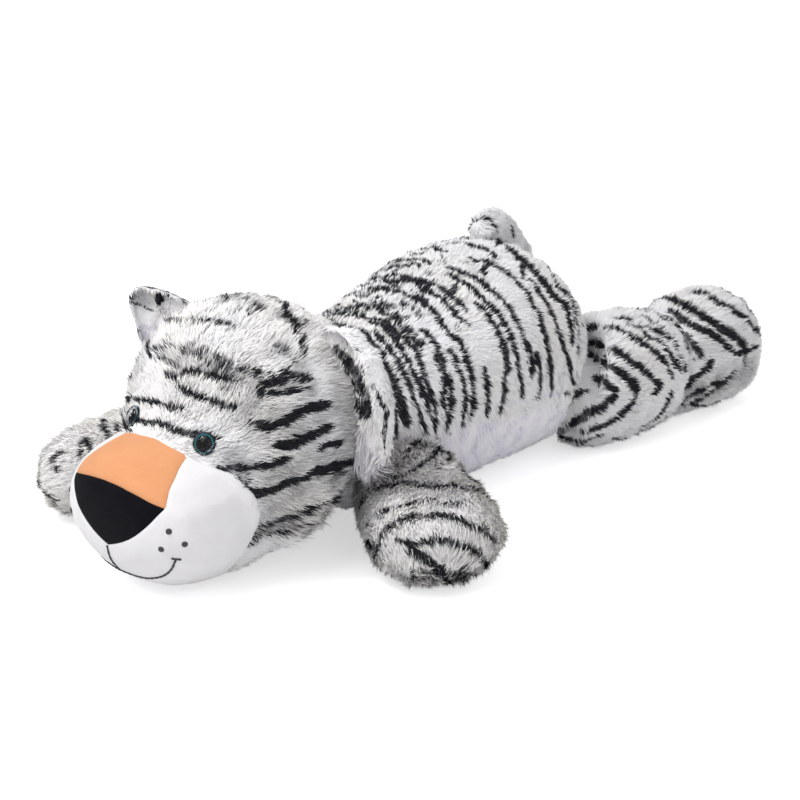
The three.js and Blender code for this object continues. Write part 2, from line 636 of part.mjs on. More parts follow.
/** How wide each ear is and how far its rim folds, by the way down from the crown. The right one has a corner. */
const leftEarShares = [[0.22, 0.1], [0.7, 0.7], [0.96, 1], [1, 1], [0.99, 0.95], [0.92, 0.75], [0.78, 0.45], [0.5, 0.15]];
const rightEarShares = [[0.18, 0.1], [0.5, 0.7], [0.8, 1], [1, 1], [0.93, 0.95], [0.74, 0.75], [0.66, 0.45], [0.5, 0.15]];

/** An ear's seam on the head at a share of the way down, and the way out from there. */
function earSeam({ topAngle, length }, down) {
  const angle = toRadians(topAngle) - down * length / HEAD_HALF_WIDTH;
  const out = new THREE.Vector3(Math.cos(angle), 0, Math.sin(angle));
  const middle = new THREE.Vector3(0, earY, HEAD_HEIGHT / 2);
  const from = middle.clone().addScaledVector(out, 2 * HEAD_HALF_WIDTH);
  return { seam: lookAt(headForm.skin, from, out.clone().negate()).point, out };
}

/** A point of the ear's middle surface: down its length, across from the seam to the folded rim. */
function earPoint(ear, down, across) {
  const { shares, width, curl } = ear;
  const [widthShare, curlShare] = smoothRows(shares, 41)[Math.round(down * 40)];
  const { seam, out } = earSeam(ear, down);
  const [wide, fold, cup] = [widthShare * width, curlShare * curl, EAR_CUP * widthShare];
  const profile = [[0, 0], [0.3 * wide, -0.75 * cup], [0.65 * wide, -cup], [0.96 * wide, -0.45 * cup],
    [wide, 0.3 * fold], [0.97 * wide - 0.35 * fold, 0.75 * fold]];
  const [[reach, forward]] = smoothRows(profile, 61).slice(Math.round(across * 60));
  return seam.clone().addScaledVector(out, reach).addScaledVector(BACK, -forward);
}

/** A closed cloth layer over part of the ear, between two distances from its middle surface. */
function earLayer(ear, [acrossFrom, acrossTo], acrossSteps, downSteps, [low, high]) {
  const points = [];
  const nudge = 1 / 40;
  for (const offset of [low, high]) {
    for (let row = 0; row <= downSteps; row += 1) {
      for (let column = 0; column <= acrossSteps; column += 1) {
        const [down, across] = [row / downSteps, acrossFrom + (acrossTo - acrossFrom) * column / acrossSteps];
        const [d0, d1] = [Math.max(0, down - nudge), Math.min(1, down + nudge)];
        const [a0, a1] = [Math.max(0, across - nudge), Math.min(1, across + nudge)];
        const along = earPoint(ear, d1, across).sub(earPoint(ear, d0, across));
        const normal = along.cross(earPoint(ear, down, a1).sub(earPoint(ear, down, a0))).normalize();
        points.push(earPoint(ear, down, across).addScaledVector(normal, offset));
      }
    }
  }
  return sheetSolid(points, downSteps, acrossSteps);
}

/** The closed skin round two grids of points, the lower grid first. */
function sheetSolid(points, rows, columns) {
  const layer = (rows + 1) * (columns + 1);
  const at = (row, column, upper) => upper * layer + row * (columns + 1) + column;
  const faces = [];
  const quad = (a, b, c, d) => faces.push(a, b, c, a, c, d);
  for (let row = 0; row < rows; row += 1) {
    for (let column = 0; column < columns; column += 1) {
      for (const upper of [0, 1]) {
        const corners = [at(row, column, upper), at(row + 1, column, upper),
          at(row + 1, column + 1, upper), at(row, column + 1, upper)];
        quad(...(upper ? corners : [corners[0], ...corners.slice(1).reverse()]));
      }
    }
  }
  for (let row = 0; row < rows; row += 1) {
    quad(at(row, 0, 0), at(row + 1, 0, 0), at(row + 1, 0, 1), at(row, 0, 1));
    quad(at(row + 1, columns, 0), at(row, columns, 0), at(row, columns, 1), at(row + 1, columns, 1));
  }
  for (let column = 0; column < columns; column += 1) {
    quad(at(0, column + 1, 0), at(0, column, 0), at(0, column, 1), at(0, column + 1, 1));
    quad(at(rows, column, 0), at(rows, column + 1, 0), at(rows, column + 1, 1), at(rows, column, 1));
  }
  const geometry = new THREE.BufferGeometry().setFromPoints(points);
  geometry.setIndex(faces);
  return solid(geometry);
}

/** Both ears, the right one mirrored, clear of the head while they flap about their seam. */
function addEars() {
  const ears = [
    { sideName: 'left', mirror: 1, length: EAR_LEFT_LENGTH, width: EAR_LEFT_WIDTH, curl: EAR_LEFT_CURL,
      topAngle: EAR_LEFT_TOP_ANGLE, shares: leftEarShares },
    { sideName: 'right', mirror: -1, length: EAR_RIGHT_LENGTH, width: EAR_RIGHT_WIDTH, curl: EAR_RIGHT_CURL,
      topAngle: EAR_RIGHT_TOP_ANGLE, shares: rightEarShares },
  ];
  for (const ear of ears) {
    const { seam, out } = earSeam(ear, 0.5);
    const hinge = seam.clone().addScaledVector(out, EAR_CLOTH);
    const axis = new THREE.Vector3().crossVectors(BACK, out);
    const clear = sweptRoom(headForm.skin, hinge, [[axis, EAR_FLAP]], FIT_GAP);
    const lining = earLayer(ear, [0, 0.75], 6, 6, [FIT_GAP / 2, FIT_GAP / 2 + EAR_CLOTH]);
    const back = earLayer(ear, [0, 1], 8, 6, [-FIT_GAP / 2 - EAR_CLOTH, -FIT_GAP / 2]);
    addPiece(`ear_${ear.sideName}_lining`, lining.subtract(clear).scale([ear.mirror, 1, 1]), LINING_WHITE);
    addPiece(`ear_${ear.sideName}_back`, back.subtract(clear).scale([ear.mirror, 1, 1]), STRIPED_WHITE);
  }
}

// Legs

/** The level direction at an angle from straight ahead or straight back, opened to one side. */
function legHeading(straight, splay, mirror) {
  return new THREE.Vector3(mirror * Math.sin(toRadians(splay)), straight.y * Math.cos(toRadians(splay)), 0);
}

/** A leg's soft joint: it swings level, away from the body, and lifts its end. */
function legTurns(straight, heading, mirror, swing, lift) {
  const outward = UP.clone().multiplyScalar(-straight.y * mirror);
  return [[outward, swing], [new THREE.Vector3().crossVectors(heading, UP), lift]];
}

/** One front leg. */
function addFrontLeg({ sideName, mirror, pivot, reach, half, splay, bend, swing }) {
  const heading = legHeading(HEAD_DIRECTION, splay, mirror);
  const form = twinForm({
    root: pivot, heading, length: reach, half, height: FRONT_LEG_HEIGHT, facets: LEG_FACETS, square: [2.3, 2.1],
    bend: -mirror * bend,
    shares: [
      [0, 0, 0.72, 1.03, 0.07],
      [0.12, 0.3, 0.76, 1.04, 0.04],
      [0.32, 0.9, 0.86, 1.02, 0],
      [0.55, 1, 0.98, 0.99, 0],
      [0.76, 0.6, 1, 0.95, 0.01],
      [0.9, 0.25, 0.86, 0.86, 0.08],
      [0.97, 0.08, 0.62, 0.76, 0.19],
      [1, 0, 0.28, 0.62, 0.34],
    ],
  });
  const turns = legTurns(HEAD_DIRECTION, heading, mirror, swing, FRONT_LIFT);
  const lift = turns.slice(1);
  const socket = ballRoom(pivot, SHOULDER_BALL_RADIUS);
  const headRoom = (form, gap) => [form, headTurned(form, mirror)].map((head) => sweptRoom(head, pivot, lift, gap));
  const coverCuts = [sweptRoom(bodyForm.skin, pivot, turns), ...headRoom(headForm.skin, SWING_GAP), socket];
  const fillingCuts = [sweptRoom(bodyForm.bulk, pivot, turns, BULK_GAP), ...headRoom(headForm.bulk, BULK_GAP), socket];
  addPiece(`front_leg_${sideName}_root_filling`, ball(pivot, SHOULDER_BALL_RADIUS), FILLING_WHITE);
  addPiece(`front_leg_${sideName}_cover`, coverOf(form, PLUSH_WALL, coverCuts), STRIPED_WHITE);
  addPiece(`front_leg_${sideName}_filling`, fillingOf(form, PLUSH_WALL, fillingCuts), FILLING_WHITE);
}

/** One hind leg: the thigh, and the foot that folds at the crease. */
function addHindLeg({ sideName, mirror, pivot, splay, swing }) {
  const heading = legHeading(BACK, splay, mirror);
  const thigh = twinForm({
    root: pivot, heading, length: THIGH_REACH, half: THIGH_HALF_WIDTH, height: THIGH_HEIGHT, facets: LEG_FACETS,
    square: [2.3, 2.2],
    shares: [
      [-0.3, 0, 0.5, 0.7, 0.2],
      [-0.2, 0, 0.78, 0.88, 0.06],
      [0.05, 0, 0.97, 0.98, 0],
      [0.35, 0, 1.02, 1, 0],
      [0.68, 0, 0.97, 0.98, 0],
      [0.94, 0, 0.84, 0.91, 0.02],
      [1.1, 0, 0.62, 0.76, 0.12],
      [1.16, 0, 0.3, 0.6, 0.28],
    ],
  });
  const ankle = new THREE.Vector3(pivot.x, pivot.y, ANKLE_HEIGHT).addScaledVector(heading, THIGH_REACH);
  const foot = twinForm({
    root: ankle, heading, length: FOOT_REACH, half: FOOT_HALF_WIDTH, height: FOOT_HEIGHT, facets: LEG_FACETS,
    square: [2.3, 2.2],
    shares: [
      [0.02, 0, 0.86, 0.9, 0.02],
      [0.25, 0, 0.94, 0.96, 0],
      [0.5, 0, 1, 1, 0],
      [0.72, 0, 0.97, 0.98, 0],
      [0.88, 0, 0.8, 0.86, 0.04],
      [0.97, 0, 0.52, 0.7, 0.16],
      [1, 0, 0.22, 0.56, 0.3],
    ],
  });
  const turns = legTurns(BACK, heading, mirror, swing, HIND_LIFT);
  const fold = [[new THREE.Vector3().crossVectors(heading, UP), ANKLE_FOLD]];
  const sockets = [ballRoom(pivot, HIP_BALL_RADIUS), ballRoom(ankle, ANKLE_BALL_RADIUS)];
  const coverCuts = [sweptRoom(bodyForm.skin, pivot, turns), ...sockets];
  const fillingCuts = [sweptRoom(bodyForm.bulk, pivot, turns, BULK_GAP), ...sockets];
  const footCuts = [sweptRoom(thigh.skin, ankle, fold), sockets[1]];
  const footFilling = fillingOf(foot, PLUSH_WALL, [sweptRoom(thigh.bulk, ankle, fold, BULK_GAP)]);
  const name = `hind_leg_${sideName}`;
  addPiece(`${name}_root_filling`, ball(pivot, HIP_BALL_RADIUS), FILLING_WHITE);
  addPiece(`${name}_thigh_cover`, coverOf(thigh, PLUSH_WALL, coverCuts), STRIPED_WHITE);
  addPiece(`${name}_thigh_filling`, fillingOf(thigh, PLUSH_WALL, fillingCuts), FILLING_WHITE);
  addPiece(`${name}_foot_cover`, coverOf(foot, PLUSH_WALL, footCuts), STRIPED_WHITE);
  addPiece(`${name}_foot_filling`, footFilling.add(ball(ankle, ANKLE_BALL_RADIUS)), FILLING_WHITE);
}

// Tail

/** The tail's skin: up the rump from its root, then forward along the back. */
function tailForm() {
  const pathShares = [[0, 0, 0], [-0.16, 0.2, 0.16], [-0.3, 0.2, 0.43], [-0.33, 0.02, 0.7], [-0.27, -0.18, 0.88],
    [-0.16, -0.36, 0.955], [0, -0.56, 1], [0.08, -0.74, 0.98]];
  const path = new THREE.CatmullRomCurve3(pathShares.map(([lean, run, climb]) => new THREE.Vector3(
    tailPivot.x + lean * TAIL_LEAN, tailPivot.y + run * TAIL_RUN, tailPivot.z + climb * TAIL_CLIMB)));
  const girthShares = [[1], [1.04], [1], [1], [1], [1.02], [1.02], [0.98], [0.86], [0.62]];
  const girths = smoothRows(girthShares, TAIL_FACETS.rings);
  const rings = girths.map(([share], index) => {
    const at = index / (girths.length - 1);
    const ahead = path.getTangentAt(at);
    const up = new THREE.Vector3().crossVectors(LEFT, ahead).normalize();
    const side = new THREE.Vector3().crossVectors(ahead, up);
    return { centre: path.getPointAt(at), side, up, half: share * TAIL_RADIUS, tall: share * TAIL_RADIUS };
  });
  return loft(rings, TAIL_FACETS.segments, [2, 2]);
}

/** The tail on its own root ball. */
function addTail() {
  const skin = tailForm();
  const form = { skin, bulk: skin };
  const turns = [[UP, TAIL_WAG], [LEFT.clone().negate(), TAIL_LIFT]];
  const cuts = [sweptRoom(bodyForm.skin, tailPivot, turns, TAIL_GAP), ballRoom(tailPivot, TAIL_BALL_RADIUS)];
  addPiece('tail_root_filling', ball(tailPivot, TAIL_BALL_RADIUS), FILLING_WHITE);
  addPiece('tail_cover', coverOf(form, PLUSH_WALL, cuts), STRIPED_WHITE);
  addPiece('tail_filling', fillingOf(form, PLUSH_WALL, cuts), FILLING_WHITE);
}

// Assembly

const eyePlaces = [1, -1].map(eyePlace);
addBody();
addHead(eyePlaces);
['left', 'right'].forEach((sideName, index) => addEye(sideName, eyePlaces[index]));
addEars();
addFrontLeg({
  sideName: 'left', mirror: 1, pivot: shoulderPivots[0], reach: FRONT_LEFT_REACH, half: FRONT_LEFT_HALF_WIDTH,
  splay: FRONT_LEFT_SPLAY, bend: FRONT_LEFT_BEND, swing: FRONT_LEFT_SWING,
});
addFrontLeg({
  sideName: 'right', mirror: -1, pivot: shoulderPivots[1], reach: FRONT_RIGHT_REACH, half: FRONT_RIGHT_HALF_WIDTH,
  splay: FRONT_RIGHT_SPLAY, bend: FRONT_RIGHT_BEND, swing: FRONT_RIGHT_SWING,
});
addHindLeg({ sideName: 'left', mirror: 1, pivot: hipPivots[0], splay: HIND_LEFT_SPLAY, swing: HIND_LEFT_SWING });
addHindLeg({ sideName: 'right', mirror: -1, pivot: hipPivots[1], splay: HIND_RIGHT_SPLAY, swing: HIND_RIGHT_SWING });
addTail();

export default tiger;
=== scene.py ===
"""The stuffed white tiger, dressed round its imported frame: fur, velour face, eyes, light and camera."""

import logging
import math
from collections.abc import Callable, Iterator
from contextlib import contextmanager
from dataclasses import dataclass, field, replace
from enum import Enum

import bmesh
import bpy
import numpy as np
from mathutils import Matrix, Vector
from mathutils.bvhtree import BVHTree


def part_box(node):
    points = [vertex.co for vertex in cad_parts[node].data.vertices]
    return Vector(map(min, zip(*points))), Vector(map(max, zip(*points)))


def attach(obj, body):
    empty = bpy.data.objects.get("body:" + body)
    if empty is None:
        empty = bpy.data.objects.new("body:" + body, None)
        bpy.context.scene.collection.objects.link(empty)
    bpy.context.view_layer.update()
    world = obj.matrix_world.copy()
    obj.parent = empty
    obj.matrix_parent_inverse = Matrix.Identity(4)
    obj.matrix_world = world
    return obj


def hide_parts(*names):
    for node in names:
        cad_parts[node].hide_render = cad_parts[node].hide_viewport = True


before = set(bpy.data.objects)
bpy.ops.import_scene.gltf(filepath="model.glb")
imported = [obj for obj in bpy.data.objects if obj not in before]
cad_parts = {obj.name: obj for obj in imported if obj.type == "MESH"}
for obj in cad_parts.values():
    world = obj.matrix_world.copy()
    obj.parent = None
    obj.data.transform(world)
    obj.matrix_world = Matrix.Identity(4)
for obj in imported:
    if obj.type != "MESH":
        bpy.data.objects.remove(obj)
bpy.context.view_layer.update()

log = logging.getLogger("tiger")
MM = 0.001

# What counts as no length, how near vertices weld, and how low a skin and a strand may reach, in metres
TINY = 1e-12
WELD = 1e-6
LOWEST_SKIN = 0.0015
LOWEST_STRAND = 0.0003

Array = np.ndarray
Pixel = tuple[int, int]
Place = tuple[float, float, float]


# Small helpers for meshes


def unit(rows: Array) -> Array:
    """Rows of vectors, each of length one."""
    return rows / np.maximum(np.linalg.norm(rows, axis=-1, keepdims=True), TINY)


def deselect() -> None:
    """Nothing is selected, so an operator meets only what is picked next."""
    for obj in bpy.context.selected_objects:
        obj.select_set(False)


def pick(*objs: bpy.types.Object) -> bpy.types.Object:
    """Select these objects alone, the first one active, and return it."""
    deselect()
    for obj in objs:
        obj.select_set(True)
    bpy.context.view_layer.objects.active = objs[0]
    return objs[0]


@contextmanager
def editing() -> Iterator[None]:
    """The active object in edit mode, with all of it selected."""
    bpy.ops.object.mode_set(mode="EDIT")
    bpy.ops.mesh.select_all(action="SELECT")
    yield
    bpy.ops.object.mode_set(mode="OBJECT")


@contextmanager
def reworked(obj: bpy.types.Object) -> Iterator[bmesh.types.BMesh]:
    """The object's mesh opened for rework, and written back at the end."""
    mesh = bmesh.new()
    mesh.from_mesh(obj.data)
    mesh.verts.ensure_lookup_table()
    yield mesh
    mesh.to_mesh(obj.data)
    mesh.free()


def linked(name: str, data: bpy.types.ID) -> bpy.types.Object:
    """A new object of the scene that holds this data."""
    made = bpy.data.objects.new(name, data)
    bpy.context.scene.collection.objects.link(made)
    return made


def added(operator: Callable[..., object], **settings: object) -> bpy.types.Object:
    """The simple mesh object that an operator adds."""
    deselect()
    operator(**settings)
    return bpy.context.active_object


def faced(obj: bpy.types.Object, place: Place | Array, way: Vector | Array, axis: str) -> bpy.types.Object:
    """Stand an object at a place, with this axis of it along the way."""
    obj.location = Vector(place)
    obj.rotation_mode = "QUATERNION"
    obj.rotation_quaternion = Vector(way).to_track_quat(axis, "Y")
    return obj


def settled(obj: bpy.types.Object, name: str, place: Vector, way: Vector) -> bpy.types.Object:
    """Stand a mesh made at the origin at a place, upright along the way, and apply its place and turn."""
    obj.name = name
    pick(faced(obj, place, way, "Z"))
    bpy.ops.object.transform_apply(location=True, rotation=True, scale=True)
    smooth_shaded(obj)
    return obj


def copy_of(nodes: list[str], name: str) -> bpy.types.Object:
    """A welded copy of several CAD nodes as one new object.

    Args:
        nodes: The CAD nodes to copy.
        name: The new object's name.

    Returns:
        The new object, at the origin.
    """
    copies = [linked(name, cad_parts[node].data.copy()) for node in nodes]
    for obj in copies:
        obj.data.materials.clear()
    joined = pick(*copies)
    if len(copies) > 1:
        bpy.ops.object.join()
    with editing():
        bpy.ops.mesh.remove_doubles(threshold=WELD)
    joined.name = name
    return joined


def modified(obj: bpy.types.Object, kind: str, **settings: object) -> bpy.types.Object:
    """Add one modifier with these settings and apply it.

    Args:
        obj: The object to change.
        kind: The modifier's type.
        settings: Its settings by name.

    Returns:
        The same object.
    """
    pick(obj)
    modifier = obj.modifiers.new(kind.lower(), kind)
    for key, value in settings.items():
        setattr(modifier, key, value)
    bpy.ops.object.modifier_apply(modifier=modifier.name)
    return obj


def rows_of(obj: bpy.types.Object, kind: str) -> Array:
    """One vector of each vertex, one row each."""
    rows = np.empty(len(obj.data.vertices) * 3, np.float32)
    obj.data.vertices.foreach_get(kind, rows)
    return rows.reshape(-1, 3).astype(float)


def points_of(obj: bpy.types.Object) -> Array:
    """The object's vertices, one row each."""
    return rows_of(obj, "co")


def normals_of(obj: bpy.types.Object) -> Array:
    """The object's vertex normals, one row each."""
    return rows_of(obj, "normal")


def set_points(obj: bpy.types.Object, rows: Array) -> None:
    """Put the object's vertices where the rows say."""
    obj.data.vertices.foreach_set("co", rows.astype(np.float32).ravel())
    obj.data.update()


def triangles_of(obj: bpy.types.Object) -> Array:
    """The corner indices of the object's triangles, one row each."""
    obj.data.calc_loop_triangles()
    rows = np.empty(len(obj.data.loop_triangles) * 3, np.int32)
    obj.data.loop_triangles.foreach_get("vertices", rows)
    return rows.reshape(-1, 3)


def tree_of(*objs: bpy.types.Object) -> BVHTree:
    """A search tree over the triangles of several objects."""
    rows, faces, start = [], [], 0
    for obj in objs:
        points = points_of(obj)
        rows.append(points)
        faces.append(triangles_of(obj) + start)
        start += len(points)
    return BVHTree.FromPolygons(np.concatenate(rows).tolist(), np.concatenate(faces).tolist())


def store(obj: bpy.types.Object, name: str, values: Array) -> None:
    """Keep one number for each vertex under a name that a material reads."""
    layer = obj.data.attributes.new(name, "FLOAT", "POINT")
    layer.data.foreach_set("value", values.astype(np.float32))


def smooth_shaded(obj: bpy.types.Object) -> None:
    """Shade the whole object smooth."""
    obj.data.polygons.foreach_set("use_smooth", np.ones(len(obj.data.polygons), bool))


def waves(points: Array, size: float, seed: int) -> Array:
    """Smooth noise from about -1 to 1.

    Args:
        points: Where it is wanted, one row each.
        size: The size of its bumps in metres.
        seed: Which noise it is.

    Returns:
        One number for each row.
    """
    rng = np.random.default_rng(seed)
    total = np.zeros(len(points))
    for _ in range(8):
        way = unit(rng.normal(size=(1, 3)))[0] * 2 * math.pi / size * rng.uniform(0.5, 1.1)
        total += np.sin(points @ way + rng.uniform(0, 2 * math.pi))
    return total / 3.2


def chance(cells: Array, seed: int) -> Array:
    """A fixed random number from 0 to 1 for each row of whole numbers."""
    mixed = np.full(len(cells), seed * 2654435761 % (1 << 32), np.uint64)
    for column, prime in enumerate((73856093, 19349663, 83492791)):
        mixed ^= (cells[:, column].astype(np.int64) * prime).astype(np.uint64) & np.uint64(0xFFFFFFFF)
        mixed = (mixed * np.uint64(2246822519)) & np.uint64(0xFFFFFFFF)
        mixed ^= mixed >> np.uint64(13)
    return mixed.astype(float) / (1 << 32)


def tufts(points: Array, size: float, seed: int) -> tuple[Array, Array]:
    """The tuft that each point belongs to.

    Args:
        points: Roots, one row each.
        size: The spacing of the tufts in metres.
        seed: Which tufts they are.

    Returns:
        The middle of each point's tuft, and that tuft's own random number.
    """
    home = np.floor(points / size).astype(np.int64)
    best = np.full(len(points), np.inf)
    middle, luck = points.copy(), np.zeros(len(points))
    for shift in np.ndindex(3, 3, 3):
        cell = home + np.array(shift) - 1
        place = (cell + np.stack([chance(cell, seed + i) for i in range(3)], 1)) * size
        gap = ((place - points) ** 2).sum(1)
        closer = gap < best
        best[closer], middle[closer] = gap[closer], place[closer]
        luck[closer] = chance(cell[closer], seed + 7)
    return middle, luck


# Shader maths


class Shade:
    """A value in a material's node tree that takes part in sums."""

    def __init__(self, book: "NodeBook", socket: bpy.types.NodeSocket) -> None:
        """Wrap a socket of the node tree that the book is making."""
        self.book, self.socket = book, socket

    def _maths(self, operation: str, first: object, second: object, clamp: bool = False) -> "Shade":
        """A Math node on two values."""
        settings = {"operation": operation, "use_clamp": clamp}
        return Shade(self.book, self.book.node("ShaderNodeMath", settings, {0: first, 1: second}).outputs[0])

    def __add__(self, other: object) -> "Shade":
        """Sum."""
        return self._maths("ADD", self, other)

    __radd__ = __add__

    def __sub__(self, other: object) -> "Shade":
        """Difference."""
        return self._maths("SUBTRACT", self, other)

    def __rsub__(self, other: object) -> "Shade":
        """Difference the other way round."""
        return self._maths("SUBTRACT", other, self)

    def __mul__(self, other: object) -> "Shade":
        """Product."""
        return self._maths("MULTIPLY", self, other)

    __rmul__ = __mul__

    def __truediv__(self, other: object) -> "Shade":
        """Quotient."""
        return self._maths("DIVIDE", self, other)

    def between(self, low: float, high: float) -> "Shade":
        """0 below low, 1 above high, and even between them."""
        share = (self - low) / (high - low)
        return share._maths("ADD", share, 0.0, True)


class NodeBook:
    """A node tree that is being made."""

    def __init__(self, tree: bpy.types.NodeTree) -> None:
        """Start the tree empty."""
        self.tree = tree
        tree.nodes.clear()

    def node(self, kind: str, settings: dict[str, object], sockets: dict[object, object]) -> bpy.types.Node:
        """Add a node.

        Args:
            kind: Its type.
            settings: Its own settings, set first.
            sockets: What its inputs hold, by name or number: values, Shades or sockets.

        Returns:
            The node.
        """
        made = self.tree.nodes.new(kind)
        for key, value in settings.items():
            setattr(made, key, value)
        for key, value in sockets.items():
            if isinstance(value, Shade):
                self.tree.links.new(value.socket, made.inputs[key])
            elif isinstance(value, bpy.types.NodeSocket):
                self.tree.links.new(value, made.inputs[key])
            else:
                made.inputs[key].default_value = value
        return made

    def backdrop_rays(self) -> Shade:
        """1 for rays that show the white backdrop: the camera's, and those off gloss or through clear pieces."""
        path = self.node("ShaderNodeLightPath", {}, {})
        return sum(Shade(self, path.outputs[f"Is {kind} Ray"]) for kind in ("Camera", "Glossy", "Transmission"))


class Finish(NodeBook):
    """A material that is being made, and its nodes."""

    def __init__(self, name: str) -> None:
        """Start an empty material."""
        self.material = bpy.data.materials.new(name)
        self.material.use_nodes = True
        super().__init__(self.material.node_tree)

    def number(self, name: str) -> Shade:
        """The number that the piece's vertices keep under a name."""
        return Shade(self, self.node("ShaderNodeAttribute", {"attribute_name": name}, {}).outputs["Fac"])

    def noise(self, scale: float, detail: float = 3.0, stretch: tuple[float, float, float] = (1, 1, 1)) -> Shade:
        """Noise in the piece's own space, drawn out by the stretch."""
        place = self.node("ShaderNodeTexCoord", {}, {}).outputs["Object"]
        placed = self.node("ShaderNodeMapping", {}, {"Vector": place, "Scale": stretch}).outputs[0]
        made = self.node("ShaderNodeTexNoise", {}, {"Vector": placed, "Scale": scale, "Detail": detail})
        return Shade(self, made.outputs["Fac"])

    def blend(self, share: object, low: object, high: object) -> bpy.types.NodeSocket:
        """The colour between two colours at a share."""
        return self.node("ShaderNodeMix", {"data_type": "RGBA"}, {0: share, 6: low, 7: high}).outputs[2]

    def bump(self, height: Shade, depth: float) -> bpy.types.NodeSocket:
        """A normal that follows a height of this depth in metres."""
        return self.node("ShaderNodeBump", {}, {"Height": height, "Distance": depth, "Strength": 1.0}).outputs[0]

    def surface(self, **sockets: object) -> bpy.types.Material:
        """Close the material with the usual shader, its inputs named with underscores."""
        named = {key.replace("_", " "): value for key, value in sockets.items()}
        return self.closed(self.node("ShaderNodeBsdfPrincipled", {}, named))

    def closed(self, shader: bpy.types.Node) -> bpy.types.Material:
        """Close the material with this shader."""
        self.node("ShaderNodeOutputMaterial", {}, {0: shader.outputs[0]})
        return self.material


Colour = tuple[float, float, float, float]


def colour(red: float, green: float, blue: float) -> Colour:
    """An opaque colour."""
    return (red, green, blue, 1.0)


BLACK, WHITE = colour(0, 0, 0), colour(1, 1, 1)


# Finishes


@dataclass(frozen=True)
class PileFinish:
    """Long pile that is light or dark strand by strand."""

    light: Colour = colour(0.95, 0.95, 0.96)
    cream: Colour = colour(0.96, 0.93, 0.86)
    # Pale strands' roots: painted shade deep in the pile
    light_root: Colour = colour(0.84, 0.84, 0.87)
    dark: Colour = colour(0.005, 0.006, 0.010)
    dark_root: Colour = colour(0.02, 0.021, 0.03)

    def material(self, name: str) -> bpy.types.Material:
        """Nodes that colour a strand by its dye, its warmth and the way along it; pale strands darken towards the
        root as painted shade.
        """
        book = Finish(name)
        dye, run, warmth = book.number("dye"), book.number("run"), book.number("warmth")
        light = book.blend(warmth, self.light, self.cream)
        # Painted shade: pale strands darken towards the root
        light = book.blend(run.between(0.0, 0.55), self.light_root, light)
        dark = book.blend(run.between(0.0, 0.6), self.dark_root, self.dark)
        return book.surface(Base_Color=book.blend(dye, light, dark), Roughness=0.85, Specular_IOR_Level=0.12)


@dataclass(frozen=True)
class GroundFinish:
    """The knitted ground that the pile grows from."""

    light: Colour = colour(0.88, 0.87, 0.89)
    shade: Colour = colour(0.82, 0.81, 0.84)
    dark: Colour = colour(0.01, 0.011, 0.016)

    def material(self, name: str) -> bpy.types.Material:
        """Nodes for a close knit, darker under the stripes."""
        book = Finish(name)
        knit = book.noise(900.0, 2.0)
        light = book.blend(book.noise(60.0, 3.0), self.light, self.shade)
        return book.surface(Base_Color=book.blend(book.number("dye"), light, self.dark),
                            Roughness=0.9 - 0.1 * knit, Normal=book.bump(knit, 0.0006))


@dataclass(frozen=True)
class VelourFinish:
    """Short shorn cloth, as on the muzzle."""

    base: Colour
    deep: Colour
    sheen: float = 0.35
    specular: float = 0.25
    roughness: float = 0.72
    nap: float = 0.00025

    def material(self, name: str) -> bpy.types.Material:
        """Nodes for a fine nap with a soft cloudiness."""
        book = Finish(name)
        nap = book.noise(1500.0, 3.0)
        cloud = book.noise(28.0, 4.0, (1.0, 1.0, 2.2))
        fleck = book.noise(420.0, 2.0)
        tint = book.blend((cloud * 0.6 + fleck * 0.4).between(0.3, 0.75), self.base, self.deep)
        return book.surface(Base_Color=tint, Roughness=self.roughness + 0.12 * nap, Sheen_Weight=self.sheen,
                            Sheen_Roughness=0.45, Specular_IOR_Level=self.specular,
                            Normal=book.bump(nap + fleck, self.nap))


@dataclass(frozen=True)
class ThreadFinish:
    """Twisted embroidery thread."""

    base: Colour = colour(0.012, 0.012, 0.016)
    worn: Colour = colour(0.05, 0.05, 0.06)

    def material(self, name: str) -> bpy.types.Material:
        """Nodes for the twist of a thread."""
        book = Finish(name)
        twist = book.noise(700.0, 2.0, (1.0, 1.0, 3.0))
        tint = book.blend(twist, self.base, self.worn)
        return book.surface(Base_Color=tint, Roughness=0.55 + 0.2 * twist, Normal=book.bump(twist, 0.0004))


@dataclass(frozen=True)
class IrisFinish:
    """The painted disc under the eye's dome."""

    rim: Colour = colour(0.002, 0.010, 0.024)
    ring: Colour = colour(0.004, 0.20, 0.21)
    core: Colour = colour(0.002, 0.02, 0.035)

    def material(self, name: str) -> bpy.types.Material:
        """Nodes for a ring that is lit in its middle and dark at the rim."""
        book = Finish(name)
        way, grain = book.number("outward"), book.noise(900.0, 3.0)
        ring = book.blend(way.between(0.69, 0.73), self.core, self.ring)
        ring = book.blend(way.between(0.79, 0.84), ring, self.rim)
        tint = book.blend(grain * 0.35, ring, self.rim)
        return book.surface(Base_Color=tint, Roughness=0.35 + 0.2 * grain, Specular_IOR_Level=0.1)


@dataclass(frozen=True)
class DomeFinish:
    """Clear polished plastic over the iris."""

    tint: Colour = colour(0.93, 0.96, 0.98)
    polish: float = 0.02
    bending: float = 1.3

    def material(self, name: str) -> bpy.types.Material:
        """Nodes for a clear dome with a full gloss on it."""
        book = Finish(name)
        gloss = book.node("ShaderNodeBsdfGlossy", {}, {"Color": WHITE, "Roughness": self.polish})
        clear = book.node("ShaderNodeBsdfTransparent", {}, {"Color": self.tint})
        edge = book.node("ShaderNodeFresnel", {}, {"IOR": self.bending}).outputs[0]
        both = book.node("ShaderNodeMixShader", {}, {0: edge, 1: clear.outputs[0], 2: gloss.outputs[0]})
        return book.closed(both)


